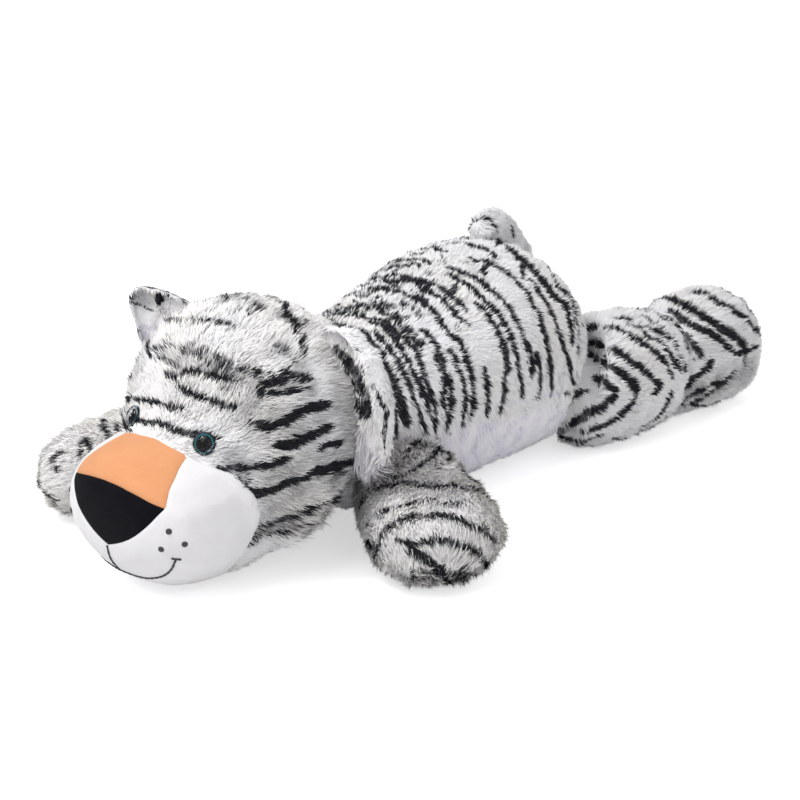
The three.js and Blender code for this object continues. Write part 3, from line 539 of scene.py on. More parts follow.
@dataclass(frozen=True)
class PlasticFinish:
    """Moulded plastic of the parts inside."""

    base: Colour
    roughness: float = 0.4
    specular: float = 0.15
    grain: Colour = colour(0.008, 0.007, 0.008)

    def material(self, name: str) -> bpy.types.Material:
        """Nodes for a faint moulding grain."""
        book = Finish(name)
        grain = book.noise(300.0, 3.0)
        tint = book.blend(grain * 0.3, self.base, self.grain)
        return book.surface(Base_Color=tint, Roughness=self.roughness + 0.15 * grain,
                            Specular_IOR_Level=self.specular, Normal=book.bump(grain, 0.0001))


class Finishes(Enum):
    """Every finish on the tiger, by what it is on."""

    STRIPED_PILE = PileFinish()
    # The belly's white pile, darker and lilac as painted shade under the body
    SHADED_BELLY_PILE = PileFinish(light=colour(0.88, 0.87, 0.94), light_root=colour(0.78, 0.77, 0.85))
    # The ear lining's white pile, darker and lilac as painted shade
    SHADED_LINING_PILE = PileFinish(light=colour(0.85, 0.83, 0.89), light_root=colour(0.64, 0.62, 0.69))
    GROUND = GroundFinish()
    MUZZLE = VelourFinish(colour(0.83, 0.82, 0.83), colour(0.79, 0.78, 0.80))
    BRIDGE = VelourFinish(colour(0.76, 0.35, 0.165), colour(0.69, 0.30, 0.13), sheen=0.2)
    NOSE = VelourFinish(colour(0.0015, 0.0015, 0.003), colour(0.004, 0.004, 0.006), sheen=0.0, specular=0.08)
    THREAD = ThreadFinish()
    IRIS = IrisFinish()
    PUPIL = PlasticFinish(colour(0.001, 0.001, 0.002), 0.5, 0.0)
    DOME = DomeFinish()
    SHANK = PlasticFinish(colour(0.01, 0.01, 0.012))
    WASHER = PlasticFinish(colour(0.6, 0.6, 0.62))

    def made(self) -> bpy.types.Material:
        """This finish's material, made once."""
        name = self.name.lower()
        return bpy.data.materials.get(name) or self.value.material(name)


def wear(obj: bpy.types.Object, finish: Finishes) -> None:
    """Give a piece its only material."""
    obj.data.materials.clear()
    obj.data.materials.append(finish.made())


def dressed(obj: bpy.types.Object, finish: Finishes, slot: str, body: str, *nodes: str) -> None:
    """Make an object a piece of the tiger.

    Args:
        obj: The object.
        finish: Its finish.
        slot: Not used.
        body: The body that it rides.
        nodes: The CAD nodes that it stands for.
    """
    wear(obj, finish)
    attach(obj, body)
    if nodes:
        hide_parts(*nodes)


# The photograph's view


@dataclass(frozen=True)
class Viewpoint:
    """Where the photograph was taken from, as fitted to the frame."""

    azimuth: float = 42.0
    elevation: float = 22.0
    distance: float = 2.6
    aim: Place = (0.0, 0.0, 0.1)
    frame_pixels: int = 800
    focal_pixels: float = 2000.0
    centre: tuple[float, float] = (400.0, 405.0)
    sensor: float = 36.0
    far_end: float = 50.0

    @property
    def back(self) -> Array:
        """The way from the aim to the camera."""
        turn, rise = math.radians(self.azimuth), math.radians(self.elevation)
        return np.array([math.sin(turn) * math.cos(rise), -math.cos(turn) * math.cos(rise), math.sin(rise)])

    @property
    def right(self) -> Array:
        """The way to the right of the picture."""
        turn = math.radians(self.azimuth)
        return np.array([math.cos(turn), math.sin(turn), 0.0])

    @property
    def up(self) -> Array:
        """The way to the top of the picture."""
        return np.cross(self.back, self.right)

    @property
    def place(self) -> Array:
        """Where the camera stands."""
        return np.array(self.aim) + self.back * self.distance

    def ray(self, pixel: Pixel) -> Array:
        """The way that a pixel of the photograph looks."""
        across = (pixel[0] - self.centre[0]) / self.focal_pixels
        down = (pixel[1] - self.centre[1]) / self.focal_pixels
        return unit((-self.back + self.right * across - self.up * down)[None])[0]

    def seen(self, places: Array) -> Array:
        """The pixel of the photograph where each place is seen."""
        off = places - self.place
        depth = -(off @ self.back)
        return np.column_stack([self.centre[0] + self.focal_pixels * (off @ self.right) / depth,
                                self.centre[1] - self.focal_pixels * (off @ self.up) / depth])

    def camera(self) -> None:
        """Make the scene's camera."""
        data = bpy.data.cameras.new("camera")
        data.sensor_width = self.sensor
        data.lens = self.sensor * self.focal_pixels / self.frame_pixels
        data.shift_y = (self.centre[1] - self.frame_pixels / 2) / self.frame_pixels
        data.clip_end = self.far_end
        bpy.context.scene.camera = faced(linked("camera", data), self.place, -self.back, "-Z")


VIEW = Viewpoint()


@dataclass(frozen=True)
class SoftBox:
    """A square lamp that looks at the toy. Its power is in watts, its side and place in metres."""

    name: str
    power: float
    side: float
    place: Place

    def build(self) -> None:
        """Make the lamp."""
        data = bpy.data.lights.new(self.name, "AREA")
        data.shape, data.size, data.energy = "SQUARE", self.side, self.power
        faced(linked(self.name, data), self.place, Vector(VIEW.aim) - Vector(self.place), "-Z")


@dataclass(frozen=True)
class Studio:
    """A white floor and sky under soft studio light."""

    floor_side: float = 30.0
    floor_glow: float = 0.55
    paper: tuple[Colour, Colour] = (colour(0.80, 0.80, 0.81), colour(0.82, 0.82, 0.82))
    seen_paper: Colour = colour(0.97, 0.97, 0.98)
    sky: Colour = colour(0.97, 0.965, 0.98)
    sky_strength: float = 0.50
    boxes: tuple[SoftBox, ...] = (
        SoftBox("key_box", 34.0, 1.9, (-0.2, -1.6, 2.55)), SoftBox("window_box", 22.0, 0.6, (-0.5, -1.45, 2.4)),
        SoftBox("fill_box", 11.0, 2.0, (2.4, -0.6, 1.2)), SoftBox("rear_box", 20.0, 2.2, (-1.0, 2.8, 0.9)))

    def floor(self) -> None:
        """The floor, white to the camera and paler where the toy shades it."""
        made = added(bpy.ops.mesh.primitive_plane_add, size=self.floor_side, location=(0, 0, 0))
        made.name = "floor"
        book = Finish("floor_paper")
        seen = book.backdrop_rays()
        tint = book.blend(book.noise(3.0, 2.0), *self.paper)
        made.data.materials.append(book.surface(
            Base_Color=book.blend(seen, tint, self.seen_paper), Roughness=0.9, Specular_IOR_Level=0.1,
            Emission_Color=book.blend(seen, BLACK, WHITE), Emission_Strength=self.floor_glow))

    def world(self) -> None:
        """An even sky that is white to the camera."""
        world = bpy.data.worlds.new("studio")
        world.use_nodes = True
        book = NodeBook(world.node_tree)
        lit = book.node("ShaderNodeBackground", {}, {0: self.sky, 1: self.sky_strength})
        shown = book.node("ShaderNodeBackground", {}, {0: WHITE, 1: 1.0})
        seen = book.backdrop_rays()
        mixed = book.node("ShaderNodeMixShader", {}, {0: seen, 1: lit.outputs[0], 2: shown.outputs[0]})
        book.node("ShaderNodeOutputWorld", {}, {0: mixed.outputs[0]})
        bpy.context.scene.world = world

    def build(self) -> None:
        """Make camera, floor, sky and lamps, and set plain colours."""
        VIEW.camera()
        self.floor()
        self.world()
        for box in self.boxes:
            box.build()
        bpy.context.scene.view_settings.view_transform = "Standard"


# Stripes


@dataclass(frozen=True)
class Stripe:
    """One dyed stripe, as a path over the photograph's pixels.

    Its width is in millimetres, solid is the share of dark strands in it, and twin says that the other side of the
    toy has it too.
    """

    path: tuple[Pixel, ...]
    width: float
    solid: float = 1.0
    twin: bool = False


def stripe(width: float, path: str, solid: float = 1.0, twin: bool = False) -> Stripe:
    """A stripe whose path is written as pixels with spaces between them, such as 10,20 30,40."""
    pixels = tuple(tuple(int(number) for number in pair.split(",")) for pair in path.split())
    return Stripe(pixels, width, solid, twin)


# How far along a pixel's ray a skin is looked for, how far off it a path may run, and its longest step, in metres
SEARCHED = np.arange(1.9, 3.3, 0.02)
OFF_SKIN = 0.03
LONGEST_STEP = 0.12


def on_skin(tree: BVHTree, mark: Stripe) -> Array:
    """The stripe's path where the camera sees it on the skin, or beside it where the pile stands past the skin."""
    hits = []
    for pixel in mark.path:
        way = Vector(VIEW.ray(pixel))
        place, _, _, _ = tree.ray_cast(Vector(VIEW.place), way)
        if place is None:
            beside = [tree.find_nearest(Vector(VIEW.place) + way * far) for far in SEARCHED]
            place, _, _, gap = min(beside, key=lambda found: found[3])
            place = place if gap < OFF_SKIN else None
        if place is not None and (not hits or (place - Vector(hits[-1])).length < LONGEST_STEP):
            hits.append(list(place))
    return np.array(hits).reshape(-1, 3)


def laid_on(tree: BVHTree, path: Array) -> Array:
    """A path moved to the nearest places of a skin."""
    return np.array([list(tree.find_nearest(Vector(row))[0]) for row in path])


def path_gap(points: Array, path: Array) -> tuple[Array, Array]:
    """The gap from each point to a path, and how far along the path that is from 0 to 1."""
    best, along = np.full(len(points), np.inf), np.zeros(len(points))
    steps = max(len(path) - 1, 1)
    for i, (a, b) in enumerate(zip(path[:-1], path[1:])):
        d = b - a
        t = np.clip(((points - a) @ d) / max(d @ d, TINY), 0, 1)
        gap = np.linalg.norm(points - a - t[:, None] * d, axis=1)
        closer = gap < best
        best[closer], along[closer] = gap[closer], (i + t[closer]) / steps
    return best, along


@dataclass
class Dye:
    """What is dyed dark on one form: its stripes, and plain bands where the photograph shows nothing.

    A form that the photograph hides borrows the other side's stripes from that side's skin, its lender. They are
    mirrored and then turned about the pivot. Lengths are in metres, and turned is in degrees.
    """

    stripes: dict[str, Stripe]
    # Washes grey the pale strands: partly the fur's grey tips, partly painted shade
    grey_and_shade_washes: dict[str, Stripe] = field(default_factory=dict)
    band_spacing: float = 0.036
    band_width: float = 0.0060
    widened: float = 1.4
    band_way: Place = (0.0, 1.0, 0.0)
    bands: bool = True
    mirrored: bool = False
    edge: float = 0.0010
    lender: BVHTree | None = None
    turned: float = 0.0
    pivot: tuple[float, float] = (0.0, 0.0)

    def paths(self, tree: BVHTree, marks: dict[str, Stripe]) -> list[tuple[Array, Stripe]]:
        """Every mark's path on a skin."""
        drawn = []
        for mark in marks.values():
            path = on_skin(self.lender or tree, mark)
            if len(path) < 2:
                continue
            if self.lender is None:
                drawn.append((path, mark))
            if self.lender is not None or self.mirrored or mark.twin:
                drawn.append((laid_on(tree, self.other_side(path)), mark))
        return drawn

    @property
    def spin(self) -> Array:
        """The turn of a borrowing form, as a matrix for rows of flat places."""
        turn = math.radians(self.turned)
        return np.array([[math.cos(turn), math.sin(turn)], [-math.sin(turn), math.cos(turn)]])

    def other_side(self, path: Array) -> Array:
        """A path mirrored across the toy and turned about the pivot."""
        flat = path[:, :2] * np.array([-1, 1]) - np.array(self.pivot)
        return np.column_stack([flat @ self.spin + np.array(self.pivot), path[:, 2]])

    def home_side(self, rows: Array, about: tuple[float, float]) -> Array:
        """Rows of a borrowing form turned back and mirrored to the side that it borrows from."""
        flat = (rows[:, :2] - np.array(about)) @ self.spin.T + np.array(about)
        return np.column_stack([-flat[:, 0], flat[:, 1], rows[:, 2]])

    def shares(self, tree: BVHTree, places: Array, normals: Array) -> Array:
        """The share of dark strands at each place.

        Args:
            tree: The skin that the stripes are laid on.
            places: Where the strands show.
            normals: The skin's normals there.

        Returns:
            A share from 0 to 1 for each place.
        """
        wobble = 0.0010 * waves(places, 0.009, 11) + 0.0008 * waves(places, 0.022, 12)
        share = np.zeros(len(places))
        for path, mark in self.paths(tree, self.stripes):
            half = mark.width * MM / 2 * self.widened
            low, high = path.min(0) - 2.5 * half - 0.003, path.max(0) + 2.5 * half + 0.003
            near = ((places > low) & (places < high)).all(1).nonzero()[0]
            if not len(near):
                continue
            gap, along = path_gap(places[near], path)
            taper = 0.5 + 0.5 * np.sqrt(np.clip(np.minimum(along, 1 - along) * 6, 0, 1))
            inside = np.clip((half * taper + wobble[near] - gap) / self.edge + 0.5, 0, 1)
            share[near] = np.maximum(share[near], inside * mark.solid)
        if self.bands:
            if self.lender is not None:
                places, normals = self.home_side(places, self.pivot), self.home_side(normals, (0.0, 0.0))
            share = np.maximum(share, self.unseen_bands(places, normals))
        return share

    def greys_and_shade(self, tree: BVHTree, places: Array) -> Array:
        """How grey the pale strands are at each place, where a wash lies over them: partly the fur's grey tips and
        partly painted shade.
        """
        grey = np.zeros(len(places))
        for path, mark in self.paths(tree, self.grey_and_shade_washes):
            gap, _ = path_gap(places, path)
            edge = np.clip(1.5 - gap / (mark.width * MM / 2), 0, 1)
            grey = np.maximum(grey, edge * mark.solid)
        return grey * np.clip(1 + 0.5 * waves(places, 0.028, 23), 0, 1.5)

    def unseen_bands(self, places: Array, normals: Array) -> Array:
        """Plain bands across the form, only where the photograph doesn't show it."""
        hidden = np.ones(len(places), bool)
        for flip in (1, -1) if self.mirrored else (1,):
            turned = np.array([flip, 1, 1])
            hidden &= (normals * turned * unit(VIEW.place - places * turned)).sum(1) < -0.05
        way = unit(np.array([self.band_way], float))[0]
        run = places @ way + 0.010 * waves(places, 0.12, 21)
        phase = np.abs((run / self.band_spacing + 0.25) % 1 - 0.5) * self.band_spacing
        width = self.band_width * (0.6 + 0.5 * waves(places, 0.09, 22))
        return np.clip((width / 2 - phase) / self.edge + 0.5, 0, 1) * hidden


# The stripes, as they are seen in the photograph


HEAD_STRIPES = {
    "brow": stripe(7, "136,420 150,422 165,423 175,429 190,433 205,436 218,438"),
    "lash": stripe(3, "196,437 200,432 208,430 215,433 222,438", 0.8),
    "temple_right": stripe(5, "130,370 127,378 129,388 131,398 140,399 150,400 163,403 175,406 186,408", 0.9),
    "face_edge": stripe(4, "119,392 118,405 121,418 126,427 133,434"),
    "forehead_low": stripe(6.5, "180,381 190,392 203,396 215,400 228,403 238,407"),
    "forehead_middle": stripe(6, "166,374 180,374 187,370 200,370 215,375 230,378 240,380", 0.85),
    "forehead_patch": stripe(20, "230,388 241,389", 0.4),
    "forehead_band": stripe(11, "182,347 195,348 207,353 220,360 235,366 250,370 262,378 275,380 290,376 305,378"
                                " 312,380", 0.5),
    "ear_patch": stripe(9, "262,395 265,385 275,383 290,375 303,377 313,380", 0.8),
    "ear_patch_low": stripe(5, "265,395 280,393 295,391 310,388", 0.8),
    "cluster_a": stripe(5.5, "152,337 151,350 153,358", 0.9),
    "cluster_b": stripe(4.5, "150,350 160,348 166,347", 0.8),
    "cluster_c": stripe(4.5, "155,356 165,358 172,362 182,366", 0.6),
    "cluster_d": stripe(3.5, "143,345 142,358 140,366", 0.7),
    "cluster_e": stripe(3.5, "163,342 172,345 180,345", 0.5),
    "cluster_f": stripe(2.5, "170,337 180,342", 0.4),
    "crown": stripe(5.5, "158,324 168,320 178,322 190,322 205,322 218,322 228,326 235,328", 0.85),
    "crown_tip": stripe(4, "165,320 172,316", 0.8),
    "top_a": stripe(5.5, "199,302 207,299 213,296 222,297 230,303", 0.7),
    "top_b": stripe(9, "228,296 240,300 250,304", 0.4),
    "top_c": stripe(3.5, "238,309 247,312 254,318", 0.8),
    "top_d": stripe(7, "255,306 262,311 267,312", 0.95),
    "rear_a": stripe(8, "269,295 276,297 283,307 290,318 296,328 299,332", 0.95, True),
    "rear_b": stripe(3, "278,295 290,302 299,308 306,316", 0.7, True),
    "rear_c": stripe(4.5, "303,322 305,330", 0.7, True),
    "rear_d": stripe(7, "303,337 303,350 302,356", 0.8, True),
    "spot_a": stripe(5.5, "275,346 283,348 290,350", 0.6),
    "spot_b": stripe(7, "291,358 294,365", 0.5),
    "cheek_a": stripe(9, "252,421 262,424 275,425 285,422 295,416 303,411 312,408 322,405 330,403", 1, True),
    "cheek_b": stripe(9, "277,444 290,445 303,440 313,434 322,429 331,425", 1, True),
    "cheek_c": stripe(5.5, "317,449 328,443 343,440", 1, True),
    "cheek_d": stripe(7, "219,470 232,468 245,466 258,467 270,464 280,460 290,457", 0.95, True),
    "cheek_e": stripe(8.5, "231,474 243,486 252,493 262,492 275,488 290,481 305,475 318,470 330,464 345,460"
                           " 355,458", 1, True),
    "cheek_f": stripe(3.5, "315,476 328,470 342,468 358,465", 0.9, True),
    "cheek_g": stripe(6, "260,525 270,522 282,517 295,513 305,507 318,500 330,494 340,487 350,479"
                         " 358,474", 1, True),
    "cheek_h": stripe(4, "266,536 278,531 290,526 298,520 308,517 320,510 332,505 340,498 350,486", 1, True),
    # Painted shade: a speckled dark patch at the cheek's lower edge, by the muzzle's underside
    "cheek_speckled_shade": stripe(13, "250,545 256,538 262,530", 0.5, True),
    "cheek_fleck": stripe(12, "243,468 247,480 250,490", 0.35, True),
}

# Grey washes over the head's pale strands. The cheek washes are partly the fur's grey tips and partly painted
# shade on the cheeks' side turned from the light.
HEAD_GREY_AND_SHADE_WASHES = {
    "cheek_high": stripe(56, "262,412 290,425 325,420 350,425", 0.26, True),
    "cheek_low": stripe(62, "235,478 262,500 290,480 330,465 352,468", 0.36, True),
    # Painted shade along the cheek's lower edge
    "cheek_under_shade": stripe(40, "262,530 290,518 330,500", 0.42, True),
    "forehead": stripe(20, "190,352 225,368 262,385 300,385", 0.30),
    "temple": stripe(16, "150,342 175,355 185,366", 0.22),
    "crown": stripe(20, "205,299 240,303 270,312 295,325", 0.20),
    "ear_foot": stripe(26, "280,350 300,375 310,395", 0.30),
}

TORSO_STRIPES = {
    "shoulder_a": stripe(7, "343,335 355,345 367,355 375,367 383,380 390,395 394,410 395,440"),
    "shoulder_b": stripe(11, "333,325 345,328 358,334 368,340 376,350 382,362 390,375 398,390 402,405 405,420"
                             " 408,450"),
    "shoulder_c": stripe(6, "375,333 383,340 390,348 397,358 403,370 408,382 412,395 417,408 422,422 425,440"),
    "shoulder_d": stripe(6, "350,312 363,315 372,322 385,328 393,336 399,343 405,355 412,368 418,380 422,392"
                            " 427,405 432,420 437,440"),
    "withers": stripe(6, "372,305 382,312 393,317 402,327 408,335", 0.8),
    "smudge": stripe(9, "395,318 408,332 422,347", 0.7),
    "rib_a": stripe(6, "387,320 395,330 403,338 410,345 418,352 421,365 425,378 430,392 435,410 436,425"),
    "rib_b": stripe(6.5, "422,330 430,336 437,348 443,360 446,372 450,388 452,400 450,415 449,425"),
    "rib_c": stripe(5, "433,352 438,362 443,375 444,390 443,400 446,415 447,430 449,437"),
    "rib_d": stripe(6, "450,350 455,358 459,370 463,382 465,395 465,408 463,422 462,426"),
    "rib_e": stripe(6.5, "394,292 405,294 415,299 427,306 437,314 443,324 450,333 460,342 465,352 469,366 472,380"
                         " 474,395 473,408 470,420"),
    "back_a": stripe(6, "390,282 400,281 406,278 411,283 420,281 432,284 443,289 452,297 463,306 468,311"),
    "back_b": stripe(6, "418,287 427,292 438,296 446,303 452,310 460,318 468,325"),
    "spine_a": stripe(7, "380,287 390,289", 0.7),
    "spine_b": stripe(5, "392,286 402,288", 0.6),
    "spine_c": stripe(4, "310,312 330,312 345,309", 0.4),
    "spine_d": stripe(6, "355,302 368,307", 0.6),
    "spine_e": stripe(5, "370,298 378,303", 0.6),
    "spine_f": stripe(6, "380,302 390,308", 0.7),
    "spine_g": stripe(4, "365,297 385,297", 0.5),
    "spine_h": stripe(4, "345,297 358,290 368,285 380,282", 0.4),
    "spine_i": stripe(4.5, "388,275 398,271 405,267 412,265", 0.8),
    "spine_j": stripe(4, "405,267 415,263 430,262 445,261", 0.4),
    "spine_k": stripe(5, "410,257 422,254 432,250", 0.9),
    "spine_l": stripe(5, "420,247 430,245 440,242", 0.9),
    "rump_top_a": stripe(5, "443,246 455,244 465,244 470,247"),
    "rump_top_b": stripe(4.5, "470,247 480,248 488,250"),
    "spine_m": stripe(3.5, "410,275 420,273 432,272", 0.35),
    "spine_n": stripe(8, "402,305 412,308 420,314 424,317", 0.5),
    "spine_o": stripe(4, "440,262 450,261 462,262 475,266", 0.4),
    "flank_a": stripe(6.5, "445,268 455,270 465,274 475,278 485,285 493,292 500,298 507,306 514,316 520,328"
                           " 525,340 529,352 531,365 531,378 529,382"),
    "flank_b": stripe(6.5, "445,274 457,279 468,286 480,296 490,306 500,316 507,328 512,340 516,355 519,370"
                           " 521,385 522,398"),
    "flank_c": stripe(7, "474,302 485,310 493,322 500,335 504,347 507,360 508,370 505,375 504,388 504,400"
                         " 500,412"),
    "flank_d": stripe(7, "470,258 478,262 488,263 500,269 512,277 522,288 530,300 538,315 543,330 547,345 549,360"
                         " 550,375 551,390 550,397"),
    "rump_a": stripe(6.5, "530,281 538,290 546,303 552,315 557,328 561,342 566,355 569,368 571,380 573,386"),
    "rump_b": stripe(10, "500,246 510,250 518,257 527,266 535,272 541,280 548,287 553,295 560,301 566,308 569,320"
                         " 571,335 572,345", 0.95),
    "rump_c": stripe(5, "505,243 515,244 523,246 531,255 540,263 547,268 551,278 557,289 565,292 571,302 575,315"
                        " 577,330 577,345 578,360", 0.85),
    "under_tail": stripe(9, "472,240 482,236 494,236 503,240", 0.9),
    "rump_d": stripe(4, "565,285 572,300 578,315 582,330", 0.7),
    "rump_e": stripe(4, "560,290 568,300 573,315 574,330", 0.6),
    "flank_e": stripe(7, "484,368 487,380 487,395 488,408 487,417"),
    "flank_f": stripe(6, "536,352 538,365 539,380 540,392 535,400"),
    "hip_dash": stripe(4, "557,394 568,395 573,390", 0.7),
    "collar": stripe(9, "383,412 385,430 384,448"),
}

THIGH_STRIPES = {
    "front_dash": stripe(6, "560,411 570,402 578,394 591,391"),
    "arrow_a_low": stripe(8, "560,428 575,423 590,413 605,406 613,398 616,391"),
    "arrow_a_high": stripe(7, "595,378 605,381 612,388 616,391"),
    "arrow_b_low": stripe(8, "583,432 597,428 612,422 624,412 631,402 635,395"),
    "arrow_b_high": stripe(8.5, "582,352 595,357 608,365 620,372 630,380 637,389 635,397"),
    "arc_a": stripe(7.5, "583,343 590,341 602,345 615,350 627,358 640,367 648,373 655,380 660,384"),
    "arc_a_end": stripe(6, "660,386 653,392"),
    "arc_b": stripe(6, "585,328 595,326 610,328 622,331 632,337 642,343 653,350 660,357 667,367 673,377"),
    "top_dash": stripe(7, "612,319 622,319 631,321"),
    "arc_c": stripe(5.5, "626,324 640,329 648,337 660,342 668,352 674,362 680,372", 0.85),
    "arc_d": stripe(4, "640,318 652,323 665,330 672,340 678,352 682,362", 0.7),
    "arc_e": stripe(5.5, "648,328 660,334 670,340", 0.8),
    "arc_f": stripe(6, "618,309 630,308 640,311 655,314 665,319 673,326"),
    "low_a": stripe(7, "640,426 655,418 663,410 668,400 670,390"),
    "low_b": stripe(5.5, "560,436 572,440 585,440 597,436 603,434"),
    "low_c": stripe(5.5, "580,443 600,443 615,439 630,434 645,429 660,422 668,413"),
    "low_d": stripe(4, "612,437 622,434"),
    "edge_dash": stripe(5.5, "683,365 685,372"),
}

FOOT_STRIPES = {
    "arc_a": stripe(9, "648,298 662,298 675,301 688,308 700,315 712,322 724,331 735,337 743,345 746,350"),
    "arc_b": stripe(7, "670,310 680,317 692,325 704,331 716,338 727,346 735,353"),
    "arc_b_end": stripe(5.5, "735,353 748,350 757,345"),
    "arc_c": stripe(7, "695,293 707,296 720,304 733,311 745,318 753,328 758,336"),
    "arc_d": stripe(5.5, "721,290 730,295 740,302 747,309 755,319"),
    "dash_a": stripe(5.5, "755,315 759,325", 0.8),
    "arc_e": stripe(7, "665,318 678,325 688,335 695,347 700,355 704,360"),
    "arc_f": stripe(6, "672,333 680,342 687,352 693,360"),
    "side_a": stripe(6, "735,370 728,378 718,385 708,392 700,398 690,403"),
    "side_b": stripe(5.5, "720,380 708,386 697,391 687,397 680,402"),
    "side_c": stripe(7, "712,360 708,367 702,373 693,378 688,384 686,388"),
    "side_d": stripe(5.5, "682,404 695,404 708,403 720,400"),
    "side_e": stripe(4, "735,392 745,388"),
    "dash_b": stripe(5.5, "745,355 745,365", 0.6),
}

FOOT_GREY_AND_SHADE_WASHES = {
    # Partly the fur's grey tips and partly painted shade on the foot's lower side
    "side": stripe(52, "690,392 715,385 745,372", 0.34),
    "top": stripe(40, "680,335 710,345 740,330", 0.12),
}

LEFT_PAW_STRIPES = {
    "top_a": stripe(5, "430,438 440,437 448,441", 0.8),
    "top_b": stripe(6, "410,445 420,443"),
    "top_c": stripe(8, "402,458 410,452 418,446 424,443", 0.75),
    "arc_a": stripe(7, "385,482 395,481 405,477 415,472 422,467 430,460 440,452 450,450 460,456", 0.8),
    "arc_b": stripe(5, "445,463 455,460 465,458 473,461 480,465 487,468", 0.85),
    "swirl": stripe(9, "430,462 440,465 438,475", 0.45),
    "arc_c": stripe(6, "455,473 465,476 473,480 483,481 494,482", 0.8),
    "big_arc": stripe(9, "372,495 382,490 395,487 408,486 420,487 435,489 450,489 462,490 474,492 484,498 492,503"
                         " 500,508 502,515", 0.75),
    "edge_a": stripe(9, "357,515 362,505 370,498", 0.7),
    "arc_d": stripe(7, "376,523 382,515 390,512 402,509 415,506 430,504 445,506 458,506 470,505", 0.65),
    "arc_e": stripe(7, "388,532 397,527 407,522 420,519 435,518 450,520 460,524 470,528 480,533 490,540"
                       " 497,545", 0.8),
    "arc_f": stripe(7, "400,542 410,545 420,546 430,543 437,541 450,544 460,548 472,550 480,557 486,565"
                       " 485,572", 0.8),
    "arc_g": stripe(10.5, "408,552 420,555 432,562 442,570 450,580 452,585", 0.85),
    "low_speckle": stripe(19, "415,570 435,575 460,572 470,575", 0.5),
    "toe_a": stripe(9, "370,545 378,546", 0.7),
    "toe_b": stripe(6, "370,526 374,527", 0.7),
    "toe_c": stripe(9, "385,537 383,545 378,555 385,570 395,578 410,583", 0.6),
    "edge_b": stripe(7, "360,525 362,535 366,550 375,565", 0.5),
    "collar": stripe(5, "444,447 460,448", 0.6),
    "rim_fleck": stripe(14, "366,565 358,530 362,505 375,490 392,478 410,462 425,448", 0.35),
    "top_fleck": stripe(16, "425,450 450,455 475,468 495,485", 0.25),
    "low_fleck": stripe(22, "385,575 410,580 440,580 470,578", 0.3),
}

RIGHT_PAW_STRIPES = {
    "edge": stripe(6, "42,477 44,485 50,490 55,497 58,502"),
    "arc_a": stripe(7, "62,456 54,463 56,470 60,472"),
    "arc_b": stripe(5, "82,440 78,450 80,460"),
    "arc_c": stripe(6, "82,440 88,448 92,456 95,455"),
    "arc_d": stripe(8, "104,421 101,430 106,437 112,442"),
    "arc_e": stripe(5, "115,425 117,433 121,438"),
    "toe_a": stripe(6, "55,500 53,510 56,517"),
    "toe_b": stripe(6, "75,500 76,510 78,520"),
}

LEFT_EAR_STRIPES = {
    "strip": stripe(11, "332,349 343,357 350,368 357,380 363,392 366,405 367,418", 0.8),
    "strip_low": stripe(6, "337,372 343,380 350,390 353,400 357,410 360,420", 0.75),
    "edge": stripe(4, "362,370 368,380 373,390 380,400 385,412 385,430 384,448", 0.7),
}

RIGHT_EAR_STRIPES = {
    "fold_a": stripe(7, "172,293 163,296 158,304"),
    "fold_b": stripe(5, "183,300 187,305", 0.7),
    "fold_c": stripe(4, "137,292 131,297 140,299", 0.8),
    "fold_d": stripe(5, "160,310 168,313", 0.3),
}

TAIL_STRIPES = {
    "arc": stripe(6, "464,236 465,228 470,222 480,219 488,220 493,226 495,233", 0.8),
    "dash": stripe(6, "510,228 513,236"),
}


# Outlines on a flat view


Outline = list[tuple[float, float]]


def bent(*keys: tuple[float, float], steps: int) -> Outline:
    """Points on the curve from a start by a control point to an end, without its last point."""
    start, control, end = keys
    points = []
    for i in range(steps):
        t = i / steps
        shares = ((1 - t) ** 2, 2 * t * (1 - t), t * t)
        points.append(tuple(shares[0] * start[k] + shares[1] * control[k] + shares[2] * end[k] for k in (0, 1)))
    return points


def outline_gap(across: Array, height: Array, outline: Outline) -> Array:
    """How far each place of the front view is outside an outline, less than nothing inside it."""
    points = np.column_stack([across, height])
    ring = np.array(outline + outline[:1])
    gap, _ = path_gap(points, ring)
    inside = np.zeros(len(points), bool)
    for (ax, ay), (bx, by) in zip(ring[:-1], ring[1:]):
        crosses = (ay > points[:, 1]) != (by > points[:, 1])
        step = (by - ay) if by != ay else TINY
        inside ^= crosses & (points[:, 0] < ax + (points[:, 1] - ay) / step * (bx - ax))
    return np.where(inside, -gap, gap)


# Stuffed skins and the pile on them


@dataclass(frozen=True)
class Stuffing:
    """How a skin is made from its solid and how firmly it is filled. Lengths are in metres."""

    voxel: float = 0.006
    inset: float = 0.006
    rounds: int = 24
    pressure: float = 4.0
    swell: float = 0.006
    fill: float = 0.7
    snug: float = 0.004
    snug_fade: float = 0.02
    frames: int = 20


def off_floor(rows: Array) -> Array:
    """Places lifted to the lowest that a skin may reach."""
    rows[:, 2] = np.maximum(rows[:, 2], LOWEST_SKIN)
    return rows


def stuffed(name: str, nodes: list[str], how: Stuffing, beside: tuple[str, ...] = ()) -> bpy.types.Object:
    """A filled skin round some CAD nodes, taken in by the pile's depth and blown up again as cloth.

    Args:
        name: The new piece's name.
        nodes: The CAD nodes whose joint outline it follows.
        how: The making of it.
        beside: Other nodes that it lies close to, where it is not taken in.

    Returns:
        The skin, closed and at the origin.
    """
    skin = copy_of(nodes, name)
    modified(skin, "REMESH", mode="VOXEL", voxel_size=how.voxel)
    modified(skin, "SMOOTH", factor=0.5, iterations=how.rounds)
    if how.inset:
        rows = points_of(skin)
        depth = np.full(len(rows), how.inset)
        if beside:
            depth *= Near(*beside).clear(rows, how.snug, how.snug_fade)
        set_points(skin, rows - normals_of(skin) * depth[:, None])
        modified(skin, "SMOOTH", factor=0.5, iterations=6)
    if how.swell:
        blown_up(skin, how)
    set_points(skin, off_floor(points_of(skin)))
    smooth_shaded(skin)
    return skin


